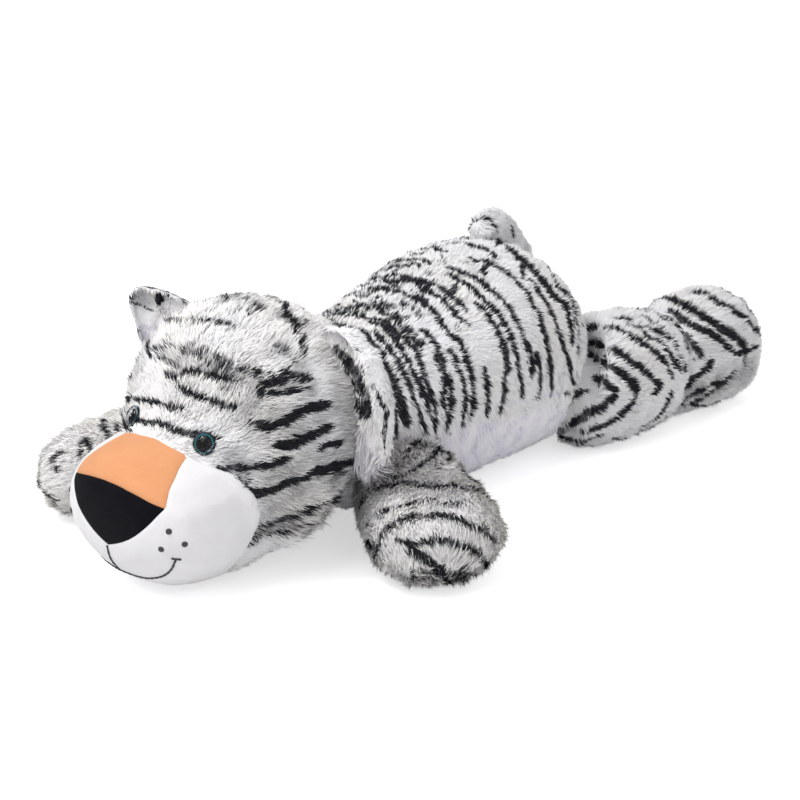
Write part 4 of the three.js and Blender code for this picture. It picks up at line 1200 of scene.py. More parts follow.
@dataclass(frozen=True)
class Swell:
    """A place where a skin is filled more, with its reach and its rise. Lengths are in metres."""

    middle: Place
    reach: float
    rise: float

    def fill(self, skin: bpy.types.Object) -> None:
        """Raise the skin round the place, and the same on the other side of the toy."""
        rows = points_of(skin)
        gap = np.linalg.norm(rows - np.array(self.middle), axis=1)
        gap = np.minimum(gap, np.linalg.norm(rows * np.array([-1, 1, 1]) - np.array(self.middle), axis=1))
        rows += normals_of(skin) * (self.rise * np.exp(-((gap / self.reach) ** 2)))[:, None]
        set_points(skin, off_floor(rows))


def blown_up(skin: bpy.types.Object, how: Stuffing) -> None:
    """Run the cloth under pressure, and keep each point within the swell."""
    before = points_of(skin)
    pick(skin)
    cloth = skin.modifiers.new("filling", "CLOTH")
    cloth.settings.quality = 4
    cloth.settings.use_pressure = True
    cloth.settings.uniform_pressure_force = how.pressure
    cloth.settings.effector_weights.gravity = 0.0
    cloth.settings.bending_stiffness = 4.0
    cloth.collision_settings.use_collision = False
    cloth.point_cache.frame_start, cloth.point_cache.frame_end = 1, how.frames
    scene = bpy.context.scene
    for step in range(1, how.frames + 1):
        scene.frame_set(step)
    bpy.ops.object.modifier_apply(modifier=cloth.name)
    scene.frame_set(1)
    moved = points_of(skin) - before
    far = np.linalg.norm(moved, axis=1, keepdims=True)
    set_points(skin, before + moved * np.minimum(1.0, how.swell / np.maximum(far, TINY)))
    modified(skin, "SMOOTH", factor=0.5, iterations=5)


class Brush(Enum):
    """Which way a form's pile is brushed."""

    TAILWARD = "tailward"
    FACE = "face"
    OUTWARD = "outward"
    DOWN = "down"


@dataclass(frozen=True)
class Pile:
    """How a plush is cut and brushed. Lengths are in metres."""

    length: float = 0.012
    width: float = 0.00102
    per_cm2: float = 46.0
    lay: float = 0.62
    clump: float = 0.45
    tuft: float = 0.008
    warmth: float = 0.1
    brush: Brush = Brush.TAILWARD
    way: Place = (0.0, 1.0, 0.0)
    centre: Place = (0.0, 0.0, 0.0)
    uneven: float = 0.35
    sunk: float = 0.0012
    most: int = 64000


@dataclass
class Roots:
    """Where the strands of a pile stand on a skin."""

    places: Array
    normals: Array

    def kept(self, which: Array) -> "Roots":
        """Some of the roots."""
        return Roots(self.places[which], self.normals[which])


def scattered(skin: bpy.types.Object, density: float, rng: np.random.Generator) -> Roots:
    """Roots spread evenly over a skin.

    Args:
        skin: The skin.
        density: Strands for each square metre.
        rng: The seeded source of chance.

    Returns:
        The roots.
    """
    points, normals, faces = points_of(skin), normals_of(skin), triangles_of(skin)
    a, b, c = (points[faces[:, i]] for i in range(3))
    area = np.linalg.norm(np.cross(b - a, c - a), axis=1) / 2
    corners = faces[np.repeat(np.arange(len(faces)), rng.poisson(area * density))]
    u, v = rng.random(len(corners)), rng.random(len(corners))
    flip = u + v > 1
    u[flip], v[flip] = 1 - u[flip], 1 - v[flip]
    parts = np.stack([1 - u - v, u, v], 1)[:, :, None]
    return Roots((points[corners] * parts).sum(1), unit((normals[corners] * parts).sum(1)))


def brushed(pile: Pile, roots: Roots) -> Array:
    """The way along the skin that each strand leans."""
    places, normals = roots.places, roots.normals
    if pile.brush is Brush.TAILWARD:
        steep = 1 - np.abs(normals[:, 2:3])
        way = np.array([[0.0, 1.0, 0.0]]) * (1.1 - steep) + np.array([[0.0, 0.25, -1.0]]) * steep
    elif pile.brush is Brush.FACE:
        way = places - np.array([pile.centre])
        way[:, 2] -= 0.05
    elif pile.brush is Brush.OUTWARD:
        way = np.array([pile.way]) + np.array([[0.0, 0.0, -0.25]])
    else:
        way = np.array([[0.0, 0.0, -1.0]]) + 0.3 * np.array([pile.way])
    way = np.broadcast_to(way, places.shape).astype(float)
    drift = np.stack([waves(places, 0.07, 31 + i) + 0.6 * waves(places, 0.025, 41 + i) for i in range(3)], 1)
    way = unit(way) + 0.32 * drift
    return unit(way - (way * normals).sum(1)[:, None] * normals)


def strands(pile: Pile, roots: Roots, length: Array, rng: np.random.Generator) -> Array:
    """The corners of every strand.

    Args:
        pile: The cut of the pile.
        roots: Where the strands stand.
        length: Each strand's length.
        rng: The seeded source of chance.

    Returns:
        Five corners for each strand: two at its root, two half way and its tip.
    """
    places, normals = roots.places, roots.normals
    count = len(places)
    lean = brushed(pile, roots)
    lay = np.clip(pile.lay + 0.16 * waves(places, 0.018, 51) + rng.normal(0, 0.09, count), 0.1, 0.95)[:, None]
    start = unit(normals * (1 - lay) + lean * lay + rng.normal(0, 0.10, (count, 3)))
    end = unit(normals * (1 - lay) * 0.55 + lean * (lay + 0.15) + rng.normal(0, 0.14, (count, 3)))
    middle, _ = tufts(places, pile.tuft, 61)
    pull = middle - places
    pull -= (pull * normals).sum(1)[:, None] * normals
    reach = length[:, None]
    foot = places - normals * pile.sunk
    half = foot + start * reach * 0.5 + pull * pile.clump * 0.3
    tip = half + end * reach * 0.5 + pull * pile.clump * 0.6
    side = unit(np.cross(start, normals) + 1e-6)
    turn = rng.uniform(-0.9, 0.9, count)[:, None]
    side = side * np.cos(turn) + np.cross(start, side) * np.sin(turn)
    wide = side * (pile.width * rng.uniform(0.75, 1.25, count))[:, None] / 2
    return np.stack([foot - wide * 0.8, foot + wide * 0.8, half - wide, half + wide, tip], 1)


# The corners of a strand's two faces, and where they lie along and across its row of the baked sheet
CORNERS = 5
RIBBON = np.array([[0, 1, 3, 2, 2, 3, 4]])
RIBBON_STARTS = np.array([[0, 4]])
RIBBON_ALONG = np.array([0.02, 0.02, 0.5, 0.5, 0.5, 0.5, 0.98])
RIBBON_ACROSS = np.array([-1, 1, 1, -1, -1, 1, 0]) * 0.0012


def strand_mesh(name: str, corners: Array, facing: Array, dye: Array, warmth: Array) -> bpy.types.Object:
    """One object that holds many strands.

    Args:
        name: The piece's name.
        corners: Five corners for each strand.
        facing: The normal that each strand is lit by.
        dye: How dark each strand is.
        warmth: How creamy each strand is.

    Returns:
        The new object.
    """
    count = len(corners)
    corners = corners.copy()
    corners[:, :, 2] = np.maximum(corners[:, :, 2], LOWEST_STRAND)
    order = np.arange(count)[:, None]
    mesh = bpy.data.meshes.new(name)
    mesh.vertices.add(count * CORNERS)
    mesh.vertices.foreach_set("co", corners.astype(np.float32).ravel())
    mesh.loops.add(count * RIBBON.size)
    mesh.loops.foreach_set("vertex_index", (order * CORNERS + RIBBON).ravel().astype(np.int32))
    mesh.polygons.add(count * RIBBON_STARTS.size)
    mesh.polygons.foreach_set("loop_start", (order * RIBBON.size + RIBBON_STARTS).ravel().astype(np.int32))
    mesh.update(calc_edges=True)
    made = linked(name, mesh)
    smooth_shaded(made)
    mesh.normals_split_custom_set_from_vertices(np.repeat(facing, CORNERS, axis=0).astype(np.float32))
    store(made, "dye", np.repeat(dye, CORNERS))
    store(made, "warmth", np.repeat(warmth, CORNERS))
    store(made, "run", np.tile([0.0, 0.0, 0.5, 0.5, 1.0], count))
    chart = np.empty((count, RIBBON.size, 2), np.float32)
    chart[:, :, 0] = RIBBON_ALONG
    chart[:, :, 1] = strand_row(dye, warmth)[:, None] + RIBBON_ACROSS
    mesh.uv_layers.new(name="OFBake").data.foreach_set("uv", chart.ravel())
    return made


def strand_row(dye: Array, warmth: Array, levels: int = 8) -> Array:
    """The height on the baked sheet where strands of one look share a row."""
    return (np.floor(warmth * levels) + 0.06 + 0.88 * dye) / levels


class Near:
    """How near places are to some CAD nodes."""

    DEEPEST = 0.02

    def __init__(self, *nodes: str) -> None:
        """Gather the nodes' surfaces."""
        self.tree = tree_of(*(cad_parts[node] for node in nodes))

    def gaps(self, places: Array) -> Array:
        """The gap to each place in metres, less than nothing inside the nodes.

        A place further off than the deepest inside is taken as outside, whichever way the nearest face looks.
        """
        gaps = np.empty(len(places))
        for i, row in enumerate(places):
            there = Vector(row)
            place, normal, _, gap = self.tree.find_nearest(there)
            outside = gap > self.DEEPEST or (there - place).dot(normal) > 0
            gaps[i] = gap if outside else -gap
        return gaps

    def clear(self, places: Array, gap: float, fade: float = 0.004) -> Array:
        """0 nearer than the gap, and 1 past the gap and its fade."""
        return np.clip((self.gaps(places) - gap) / fade, 0, 1)


Spread = Callable[[Array], Array]


@dataclass
class Coat:
    """A pile on a skin, with its dye, as one or more pieces.

    A strand's light comes by its skin's normal and a share of its own. Strands of one lock are mostly dyed alike.
    """

    QUICK_COUNT, QUICK_WIDTH = 0.35, 1.7
    FLAT_SHARE = 0.45
    LOCK, LOCK_SHARE = 0.0035, 0.6
    DEEP, PALE = (0.975, 1.0), (0.0, 0.03)

    name: str
    body: str
    slot: str
    finish: Finishes
    pile: Pile
    dye: Dye
    stands_for: str
    seed: int = 1

    def grow(self, skin: bpy.types.Object, tree: BVHTree, keep: Spread, long: Spread | None = None) -> None:
        """Make the pile.

        Args:
            skin: The skin that it stands on.
            tree: The same skin's search tree.
            keep: The share of strands kept at each place.
            long: The length at each place as a share of the cut length, which is 1 where nothing is given.
        """
        rng = np.random.default_rng(self.seed)
        pile = self.pile
        roots = scattered(skin, pile.per_cm2 * 1e4 * (1.0), rng)
        roots = roots.kept(keep(roots.places) > rng.random(len(roots.places)))
        count = len(roots.places)
        patchy = 1 + pile.uneven * (0.5 * waves(roots.places, 0.03, 71) + rng.normal(0, 0.35, count))
        length = pile.length * np.clip(patchy, 0.45, 1.6)
        if long is not None:
            length = length * long(roots.places)
        corners = strands(pile, roots, length, rng)
        flat = unit(np.cross(corners[:, 1] - corners[:, 0], corners[:, 2] - corners[:, 0]))
        facing = unit(roots.normals + self.FLAT_SHARE * flat)
        dye = self.dyed(tree, roots, corners, rng)
        drift = 0.18 * waves(roots.places, 0.10, 91) + rng.normal(0, 0.05, count)
        warmth = np.clip(pile.warmth + drift, 0, 0.99)
        order = np.argsort(roots.places[:, 1], kind="stable")
        parts = np.array_split(order, max(1, math.ceil(count / pile.most)))
        for i, part in enumerate(parts):
            name = self.name if len(parts) == 1 else f"{self.name}_{i + 1}"
            made = strand_mesh(name, corners[part], facing[part], dye[part], warmth[part])
            dressed(made, self.finish, self.slot, self.body, *(() if i else (self.stands_for,)))
            log.info("%s: %d strands", name, len(part))

    def dyed(self, tree: BVHTree, roots: Roots, corners: Array, rng: np.random.Generator) -> Array:
        """How dark each strand is, by where its outer half shows."""
        shown = corners[:, 2:4].mean(1) * 0.45 + corners[:, 4] * 0.55
        shown -= ((shown - roots.places) * roots.normals).sum(1)[:, None] * roots.normals
        dark = self.dye.shares(tree, shown, roots.normals)
        _, luck = tufts(roots.places, self.LOCK, 81)
        luck = self.LOCK_SHARE * luck + (1 - self.LOCK_SHARE) * rng.random(len(luck))
        deep, pale = rng.uniform(*self.DEEP, len(luck)), rng.uniform(*self.PALE, len(luck))
        # The washes add grey to pale strands: partly grey tips, partly painted shade
        if self.dye.grey_and_shade_washes:
            pale += self.dye.greys_and_shade(tree, shown) * rng.uniform(0.5, 1.5, len(luck))
        return np.where(dark > luck * 0.96 + 0.02, deep, pale)


# The tiger's forms


TORSO_COVERS = ("back_cover", "belly_cover")
LIMB_COVERS = ("front_leg_left_cover", "front_leg_right_cover", "hind_leg_left_thigh_cover",
               "hind_leg_right_thigh_cover", "tail_cover")
FACE_NODES = ("muzzle_cover", "nose_pad", "nose_bridge")


@dataclass
class FurForm:
    """A stuffed form in one long pile: its skin stands for its filling, and its pile for its cover."""

    name: str
    body: str
    cover: str
    filling: str
    dye: Dye
    pile: Pile = Pile()
    stuffing: Stuffing = Stuffing()
    root: tuple[str, ...] = ()
    beside: tuple[str, ...] = ()
    clear_gap: float = -0.003
    fullest: tuple[Swell, ...] = ()
    seed: int = 1

    def build(self) -> BVHTree:
        """Make the skin and the pile, and return the skin's search tree."""
        skin, tree = self.ground()
        Coat(f"{self.name}_pile", self.body, "striped_plush", Finishes.STRIPED_PILE, self.pile, self.dye,
             self.cover, self.seed).grow(skin, tree, self.keep, self.long)
        return tree

    def ground(self) -> tuple[bpy.types.Object, BVHTree]:
        """The skin in its knitted ground, darker under the stripes, and its search tree."""
        skin = stuffed(f"{self.name}_skin", self.nodes(), self.stuffing, self.beside)
        for swell in self.fullest:
            swell.fill(skin)
        tree = tree_of(skin)
        store(skin, "dye", self.dye.shares(tree, points_of(skin), normals_of(skin)) * 0.9)
        dressed(skin, Finishes.GROUND, "striped_plush", self.body, self.filling)
        return skin, tree

    def nodes(self) -> list[str]:
        """The CAD nodes whose outline the skin follows, with the ball at a limb's root."""
        return [self.cover, self.filling, *self.root]

    def keep(self, places: Array) -> Array:
        """Full in the open, and thin where another part lies against the form."""
        if not self.beside:
            return np.ones(len(places))
        return 0.04 + 0.96 * Near(*self.beside).clear(places, self.clear_gap)

    def long(self, places: Array) -> Array:
        """The cut length all over."""
        return np.ones(len(places))


@dataclass
class Torso(FurForm):
    """The body: one stuffed skin with striped pile on its back and white pile under it, tinted lilac grey as
    painted shade.
    """

    belly: Pile = Pile(length=0.009, per_cm2=20.0, lay=0.75, warmth=0.0)
    belly_drop: float = 0.010
    limb_gap: float = 0.002

    def nodes(self) -> list[str]:
        """Both covers and the filling."""
        return [*TORSO_COVERS, self.filling]

    def build(self) -> BVHTree:
        """Make the skin and both piles, and return the skin's search tree."""
        skin, tree = self.ground()
        Coat("back_pile", "body", "striped_plush", Finishes.STRIPED_PILE, self.pile, self.dye, "back_cover",
             2).grow(skin, tree, self.on_back)
        Coat("shaded_belly_pile", "body", "belly_plush", Finishes.SHADED_BELLY_PILE, self.belly, Dye({}, bands=False),
             "belly_cover", 3).grow(skin, tree, self.on_belly)
        return tree

    def under(self, places: Array) -> Array:
        """Which places are nearer to the belly's cloth than to the back's, whose pile hangs over the seam."""
        return Near("belly_cover").gaps(places) < Near("back_cover").gaps(places) - self.belly_drop

    def open_air(self, places: Array) -> Array:
        """Full in the open, and thin where a limb lies against the body."""
        return 0.2 + 0.8 * Near(*LIMB_COVERS).clear(places, self.limb_gap)

    def on_back(self, places: Array) -> Array:
        """The back's share of strands."""
        return ~self.under(places) * self.open_air(places)

    def on_belly(self, places: Array) -> Array:
        """The belly's share of strands."""
        return self.under(places) * self.open_air(places)


@dataclass(frozen=True)
class FurLine:
    """Where the head's pile ends and the face's velour begins. Heights and depths are in millimetres."""

    heights: tuple[float, ...] = (-20, 45, 60, 75, 90, 105, 117, 134, 149, 160, 172, 178, 205)
    depths: tuple[float, ...] = (-384, -384, -380, -371, -367.5, -368, -371.6, -378, -384.6, -392, -407, -416,
                                 -417)

    def past(self, places: Array) -> Array:
        """How far each place is behind the line, in metres."""
        return places[:, 1] - np.interp(places[:, 2] / MM, self.heights, self.depths) * MM


@dataclass
class Head(FurForm):
    """The head with its pile brushed away from the face."""

    line: FurLine = FurLine()
    face: tuple[str, ...] = ("muzzle_cover", "nose_bridge")
    face_reach: float = 0.034
    face_short: float = 0.55
    cheek_long: float = 0.85

    def nodes(self) -> list[str]:
        """The head with its muzzle, so that the skin runs on under the velour."""
        return [self.cover, self.filling, *FACE_NODES]

    def keep(self, places: Array) -> Array:
        """Nothing in front of the fur line, and nothing under the eyes."""
        eyes = Near("eye_left_lens", "eye_right_lens").clear(places, 0.0005, 0.001)
        return eyes * np.clip((self.line.past(places) + 0.003) / 0.001, 0, 1)

    def long(self, places: Array) -> Array:
        """Short beside the muzzle and the eyes, and longest on the cheeks."""
        share = np.clip(np.abs(Near(*self.face).gaps(places)) / self.face_reach, 0, 1)
        low = np.clip((0.13 - places[:, 2]) / 0.07, 0, 1) * np.clip((places[:, 1] + 0.385) / 0.05, 0, 1)
        return self.face_short + (1 - self.face_short) * share + self.cheek_long * low * share


@dataclass
class Ear:
    """A folded ear: a thin padded flap with striped pile behind and long pale pile in front.

    The fold is an outline over the photograph's pixels, inside which the striped back is turned to the front.
    """

    side: str
    stripes: dict[str, Stripe]
    fold: tuple[Pixel, ...]
    tip_drop: float = 0.0
    stuffing: Stuffing = Stuffing(voxel=0.0028, inset=0.0012, rounds=14, swell=0.0015, fill=0.4)
    behind: Pile = Pile(length=0.0085, per_cm2=56.0, lay=0.7, brush=Brush.DOWN)
    front: Pile = Pile(length=0.024, per_cm2=60.0, lay=0.84, clump=0.7, tuft=0.010, warmth=0.0, brush=Brush.DOWN)

    def striped(self, places: Array) -> Array:
        """1 where the striped cloth is outside, and 0 where the lining is."""
        behind = Near(f"ear_{self.side}_back").gaps(places) < Near(f"ear_{self.side}_lining").gaps(places)
        seen = VIEW.seen(places)
        folded = outline_gap(seen[:, 0], seen[:, 1], [tuple(map(float, pixel)) for pixel in self.fold]) < 0
        return (behind | folded).astype(float)

    def lined(self, places: Array) -> Array:
        """1 where the lining is outside, and 0 where the striped cloth is."""
        return 1 - self.striped(places)

    def lower_tip(self, skin: bpy.types.Object) -> None:
        """Press the flap's tip down, where the cloth folds over."""
        rows = points_of(skin)
        start = rows[:, 2].max() - 2 * self.tip_drop
        rows[:, 2] = np.where(rows[:, 2] > start, start + (rows[:, 2] - start) / 2, rows[:, 2])
        set_points(skin, rows)

    def build(self) -> None:
        """Make the flap and both piles."""
        name = f"ear_{self.side}"
        lining, back = f"{name}_lining", f"{name}_back"
        skin = biggest_part(stuffed(f"{name}_flap", [lining, back], self.stuffing))
        self.lower_tip(skin)
        tree = tree_of(skin)
        dye = Dye(self.stripes, band_spacing=0.03, band_way=(0.0, 0.3, 1.0))
        rows = points_of(skin)
        store(skin, "dye", dye.shares(tree, rows, normals_of(skin)) * self.striped(rows) * 0.9)
        dressed(skin, Finishes.GROUND, "striped_plush", name)
        Coat(f"{name}_back_pile", name, "striped_plush", Finishes.STRIPED_PILE, self.behind, dye, back, 4).grow(
            skin, tree, self.striped)
        # The lining pile's colour holds painted shade: white fur made darker lilac
        Coat(f"{name}_lining_pile", name, "ear_lining", Finishes.SHADED_LINING_PILE, self.front, Dye({}, bands=False),
             lining, 5).grow(skin, tree, self.lined)


# How near to a line a vertex lies on it, in metres
ON_LINE = 2e-5


def split_where(obj: bpy.types.Object, field_of: Callable[[Array], Array]) -> None:
    """Split an open mesh where a field over its points is nothing, so that no face crosses that line.

    Args:
        obj: The mesh's object.
        field_of: The field's value at each of some places.
    """
    with reworked(obj) as mesh:
        values = field_of(np.array([vert.co for vert in mesh.verts]))
        side = {vert: value if abs(value) > ON_LINE else 0.0 for vert, value in zip(mesh.verts, values)}
        new = [vert for vert, value in side.items() if value == 0.0]
        for edge in [edge for edge in mesh.edges if side[edge.verts[0]] * side[edge.verts[1]] < 0]:
            first, second = edge.verts
            _, vert = bmesh.utils.edge_split(edge, first, side[first] / (side[first] - side[second]))
            new.append(vert)
        bmesh.ops.connect_verts(mesh, verts=new)
        bmesh.ops.triangulate(mesh, faces=[face for face in mesh.faces if len(face.verts) > 4])


def biggest_part(obj: bpy.types.Object) -> bpy.types.Object:
    """Delete all but the object's biggest loose part."""
    with reworked(obj) as mesh:
        left, parts = set(mesh.verts), []
        while left:
            stack, part = [left.pop()], []
            while stack:
                vert = stack.pop()
                part.append(vert)
                fresh = {edge.other_vert(vert) for edge in vert.link_edges} & left
                left -= fresh
                stack.extend(fresh)
            parts.append(part)
        parts.sort(key=len)
        bmesh.ops.delete(mesh, geom=[vert for part in parts[:-1] for vert in part], context="VERTS")
    return obj


@dataclass
class InnerFilling:
    """The stuffed ball at the root of the head or a limb, under its neighbours' pile."""

    node: str
    body: str
    stuffing: Stuffing = Stuffing(voxel=0.005, inset=0.0, rounds=4, swell=0.0, fill=0.8)

    def build(self) -> None:
        """Make the ball in its knitted cloth."""
        skin = stuffed(self.node.replace("_filling", "_stuffing"), [self.node], self.stuffing)
        store(skin, "dye", np.zeros(len(skin.data.vertices)))
        dressed(skin, Finishes.GROUND, "filling", self.body, self.node)


# The velour face


@dataclass
class Face:
    """The stuffed velour muzzle, the nose sewn on its front and the bridge above it.

    Lengths are in millimetres, save for the voxel in metres.
    """

    nose_width: float = 153.0
    nose_corner_height: float = 139.0
    nose_crest: float = 13.0
    nose_depth: float = 61.0
    flank_bend: float = 0.70
    bridge_top_width: float = 104.0
    bridge_height: float = 39.0
    bridge_bulge: float = 10.0
    bridge_reach: float = 40.0
    thickness: float = 2.4
    pinch: float = 1.3
    pinch_reach: float = 4.0
    hem: float = 3.0
    hem_drop: float = 2.2
    voxel: float = 0.0034
    line: FurLine = FurLine()

    def nose_top(self) -> Outline:
        """The crested edge where the nose meets the bridge, from right to left as the tiger sees it."""
        half, corner = self.nose_width / 2 * MM, self.nose_corner_height * MM
        return bent((-half, corner), (0.0, corner + 2 * self.nose_crest * MM), (half, corner), steps=28)

    def nose_outline(self) -> Outline:
        """The nose from the front: a crested top edge and two hollow flanks down to the tip."""
        half, corner = self.nose_width / 2 * MM, self.nose_corner_height * MM
        tip = corner - self.nose_depth * MM
        hollow = (half * self.flank_bend, corner - self.nose_depth * MM * self.flank_bend)
        flank = bent((half, corner), hollow, (0.0, tip), steps=24)
        return self.nose_top() + flank + [(-x, y) for x, y in (flank + [(0.0, tip)])[:0:-1]]

    def bridge_outline(self) -> Outline:
        """The bridge from the front: from the nose's top edge up to the fur."""
        half, corner = self.nose_width / 2 * MM, self.nose_corner_height * MM
        top, rise = self.bridge_top_width / 2 * MM, corner + self.bridge_height * MM
        bulge = ((half + top) / 2 + self.bridge_bulge * MM, (corner + rise) / 2)
        edge = bent((half, corner), bulge, (top, rise), steps=12)
        edge += [(top, rise), (top, rise + self.bridge_reach * MM)]
        return self.nose_top() + edge + [(-x, y) for x, y in edge[:0:-1]]

    def build(self) -> BVHTree:
        """Make the three pieces, and return the search tree of the whole face."""
        whole = copy_of(["head_cover", "head_filling", *FACE_NODES], "face_whole")
        modified(whole, "REMESH", mode="VOXEL", voxel_size=self.voxel)
        modified(whole, "SMOOTH", factor=0.5, iterations=34)
        self.keep_front(whole)
        modified(whole, "SUBSURF", levels=1, render_levels=1)
        tree = tree_of(whole)
        nose, bridge = self.nose_outline(), self.bridge_outline()
        split_where(whole, lambda rows: self.line.past(rows) - self.hem * MM)
        split_where(whole, lambda rows: outline_gap(rows[:, 0], rows[:, 2], nose))
        split_where(whole, lambda rows: outline_gap(rows[:, 0], rows[:, 2], bridge))
        rows = points_of(whole)
        in_nose = outline_gap(rows[:, 0], rows[:, 2], nose)
        in_bridge = np.maximum(outline_gap(rows[:, 0], rows[:, 2], bridge), -in_nose)
        past = self.line.past(rows)
        seam = np.minimum(np.abs(in_nose), np.abs(in_bridge)) / (self.pinch_reach * MM)
        sunk = self.pinch * MM * np.clip(1 - seam, 0, 1) ** 2
        sunk += self.hem_drop * MM * np.clip(past / (2 * self.hem * MM) + 1, 0, 2) ** 2
        set_points(whole, rows - normals_of(whole) * sunk[:, None])
        hem = past - self.hem * MM
        parts = (("nose_patch", "nose_pad", "nose_cloth", Finishes.NOSE, in_nose),
                 ("bridge_patch", "nose_bridge", "bridge_plush", Finishes.BRIDGE, np.maximum(in_bridge, hem)),
                 ("muzzle_skin", "muzzle_cover", "muzzle_plush", Finishes.MUZZLE,
                  np.maximum(-np.minimum(in_nose, in_bridge), hem)))
        for name, node, slot, finish, gap in parts:
            self.part(whole, name, node, slot, finish, gap)
        bpy.data.objects.remove(whole)
        return tree

    def keep_front(self, whole: bpy.types.Object) -> None:
        """Delete the head's outside well behind the fur line."""
        with reworked(whole) as mesh:
            beyond = self.line.past(points_of(whole)) > (self.hem + 8.0) * MM
            bmesh.ops.delete(mesh, geom=[mesh.verts[i] for i in np.nonzero(beyond)[0]], context="VERTS")
        biggest_part(whole)

    def part(self, whole: bpy.types.Object, name: str, node: str, slot: str, finish: Finishes,
             gap: Array) -> None:
        """Take one region of the face as a piece of its own, with the thickness of its cloth.

        Args:
            whole: The face.
            name: The piece's name.
            node: The CAD node that it stands for.
            slot: A slot name, handed on to dressed.
            finish: Its finish.
            gap: How far each of the face's points is outside the region.
        """
        made = linked(name, whole.data.copy())
        with reworked(made) as mesh:
            outside = [face for face in mesh.faces if sum(gap[v.index] for v in face.verts) > 0]
            bmesh.ops.delete(mesh, geom=outside, context="FACES")
        modified(made, "SOLIDIFY", thickness=self.thickness * MM, offset=-1.0)
        smooth_shaded(made)
        dressed(made, finish, slot, "head", node)
        log.info("%s: %d faces", name, len(made.data.polygons))


@dataclass
class FaceStitching:
    """The embroidered mouth, the smile and the whisker dots, laid on the muzzle. Lengths are in millimetres."""

    thread: float = 3.0
    lip_height: float = 41.0
    mouth_top: float = 77.0
    smile_half: float = 88.0
    sag: float = 3.0
    rise: float = 39.0
    tick: float = 3.5
    dot_radius: float = 3.6
    dot_spacing: float = 15.0
    dots_across: float = 87.0
    dots_height: float = 102.0
    smile_shares: tuple[tuple[float, float], ...] = (
        (0.0, 0.0), (0.2, -1.0), (0.42, -0.6), (0.56, 0.05), (0.72, 0.23), (0.84, 0.45), (0.93, 0.7), (1.0, 1.0))
    dot_shares: tuple[tuple[float, float], ...] = ((-0.13, 0.87), (-0.63, -0.6), (0.67, -0.2))
    dot_rise: float = 0.42
    stitch: float = 2.0
    lift: float = 0.12

    def on_face(self, tree: BVHTree, across: float, height: float) -> tuple[Vector, Vector]:
        """The place and normal on the muzzle at a place of the front view."""
        place, normal, _, _ = tree.ray_cast(Vector((across * MM, -1.0, height * MM)), Vector((0, 1, 0)))
        return place, normal

    def smile(self) -> Outline:
        """The smile from one end to the other, in the front view."""
        half = [(share * self.smile_half, self.lip_height + lift * (self.rise if lift > 0 else self.sag))
                for share, lift in self.smile_shares]
        return [(-x, z) for x, z in half[:0:-1]] + half

    def build(self, tree: BVHTree) -> None:
        """Make the threads and the dots."""
        self.thread_piece("smile_thread", tree, self.smile(), "smile_stitch")
        ends, inner, outer = self.lip_height + self.rise, self.smile_half - self.tick, self.smile_half + self.tick
        for i, side in enumerate((-1, 1)):
            tick = [(side * inner, ends + 1.0), (side * outer, ends - 1.0)]
            self.thread_piece(f"smile_tick_{i + 1}", tree, tick)
        self.thread_piece("mouth_thread", tree, [(0.0, self.mouth_top), (0.0, self.lip_height)], "mouth_stitch")
        for side, name in ((1, "left"), (-1, "right")):
            for i, (a, b) in enumerate(self.dot_shares):
                across, height = self.dots_across + a * self.dot_spacing, self.dots_height + b * self.dot_spacing
                self.dot(f"whisker_{name}_{i + 1}", tree, side * across, height, f"whisker_dot_{name}_{i + 1}")

    def thread_piece(self, name: str, tree: BVHTree, way: Outline, *nodes: str) -> None:
        """A thread along a way of the front view, with gentle stitches in it."""
        keys = np.array(way)
        run = np.concatenate([[0], np.cumsum(np.linalg.norm(np.diff(keys, axis=0), axis=1))])
        steps = np.linspace(0, run[-1], max(6, int(run[-1] / self.stitch)))
        bend = [np.interp(steps, run, keys[:, k]) for k in (0, 1)]
        for row in bend if len(keys) > 3 else []:
            for _ in range(14):
                row[1:-1] = (row[:-2] + 2 * row[1:-1] + row[2:]) / 4
        curve = bpy.data.curves.new(name, "CURVE")
        curve.dimensions, curve.bevel_depth, curve.bevel_resolution = "3D", self.thread * MM / 2, 3
        curve.use_fill_caps = True
        line = curve.splines.new("POLY")
        line.points.add(len(steps) - 1)
        for i, (across, height) in enumerate(zip(*bend)):
            place, normal = self.on_face(tree, across, height)
            line.points[i].co = (*(place + normal * self.thread * MM * self.lift), 1.0)
            line.points[i].radius = 0.85 + 0.15 * math.cos(i * 1.6)
        made = pick(linked(name, curve))
        bpy.ops.object.convert(target="MESH")
        smooth_shaded(made)
        dressed(made, Finishes.THREAD, "thread", "head", *nodes)

    def dot(self, name: str, tree: BVHTree, across: float, height: float, node: str) -> None:
        """One satin-stitched dot."""
        made = added(bpy.ops.mesh.primitive_uv_sphere_add, segments=20, ring_count=10, radius=self.dot_radius * MM)
        made.scale = (1.0, 1.0, self.dot_rise)
        settled(made, name, *self.on_face(tree, across, height))
        dressed(made, Finishes.THREAD, "thread", "head", node)


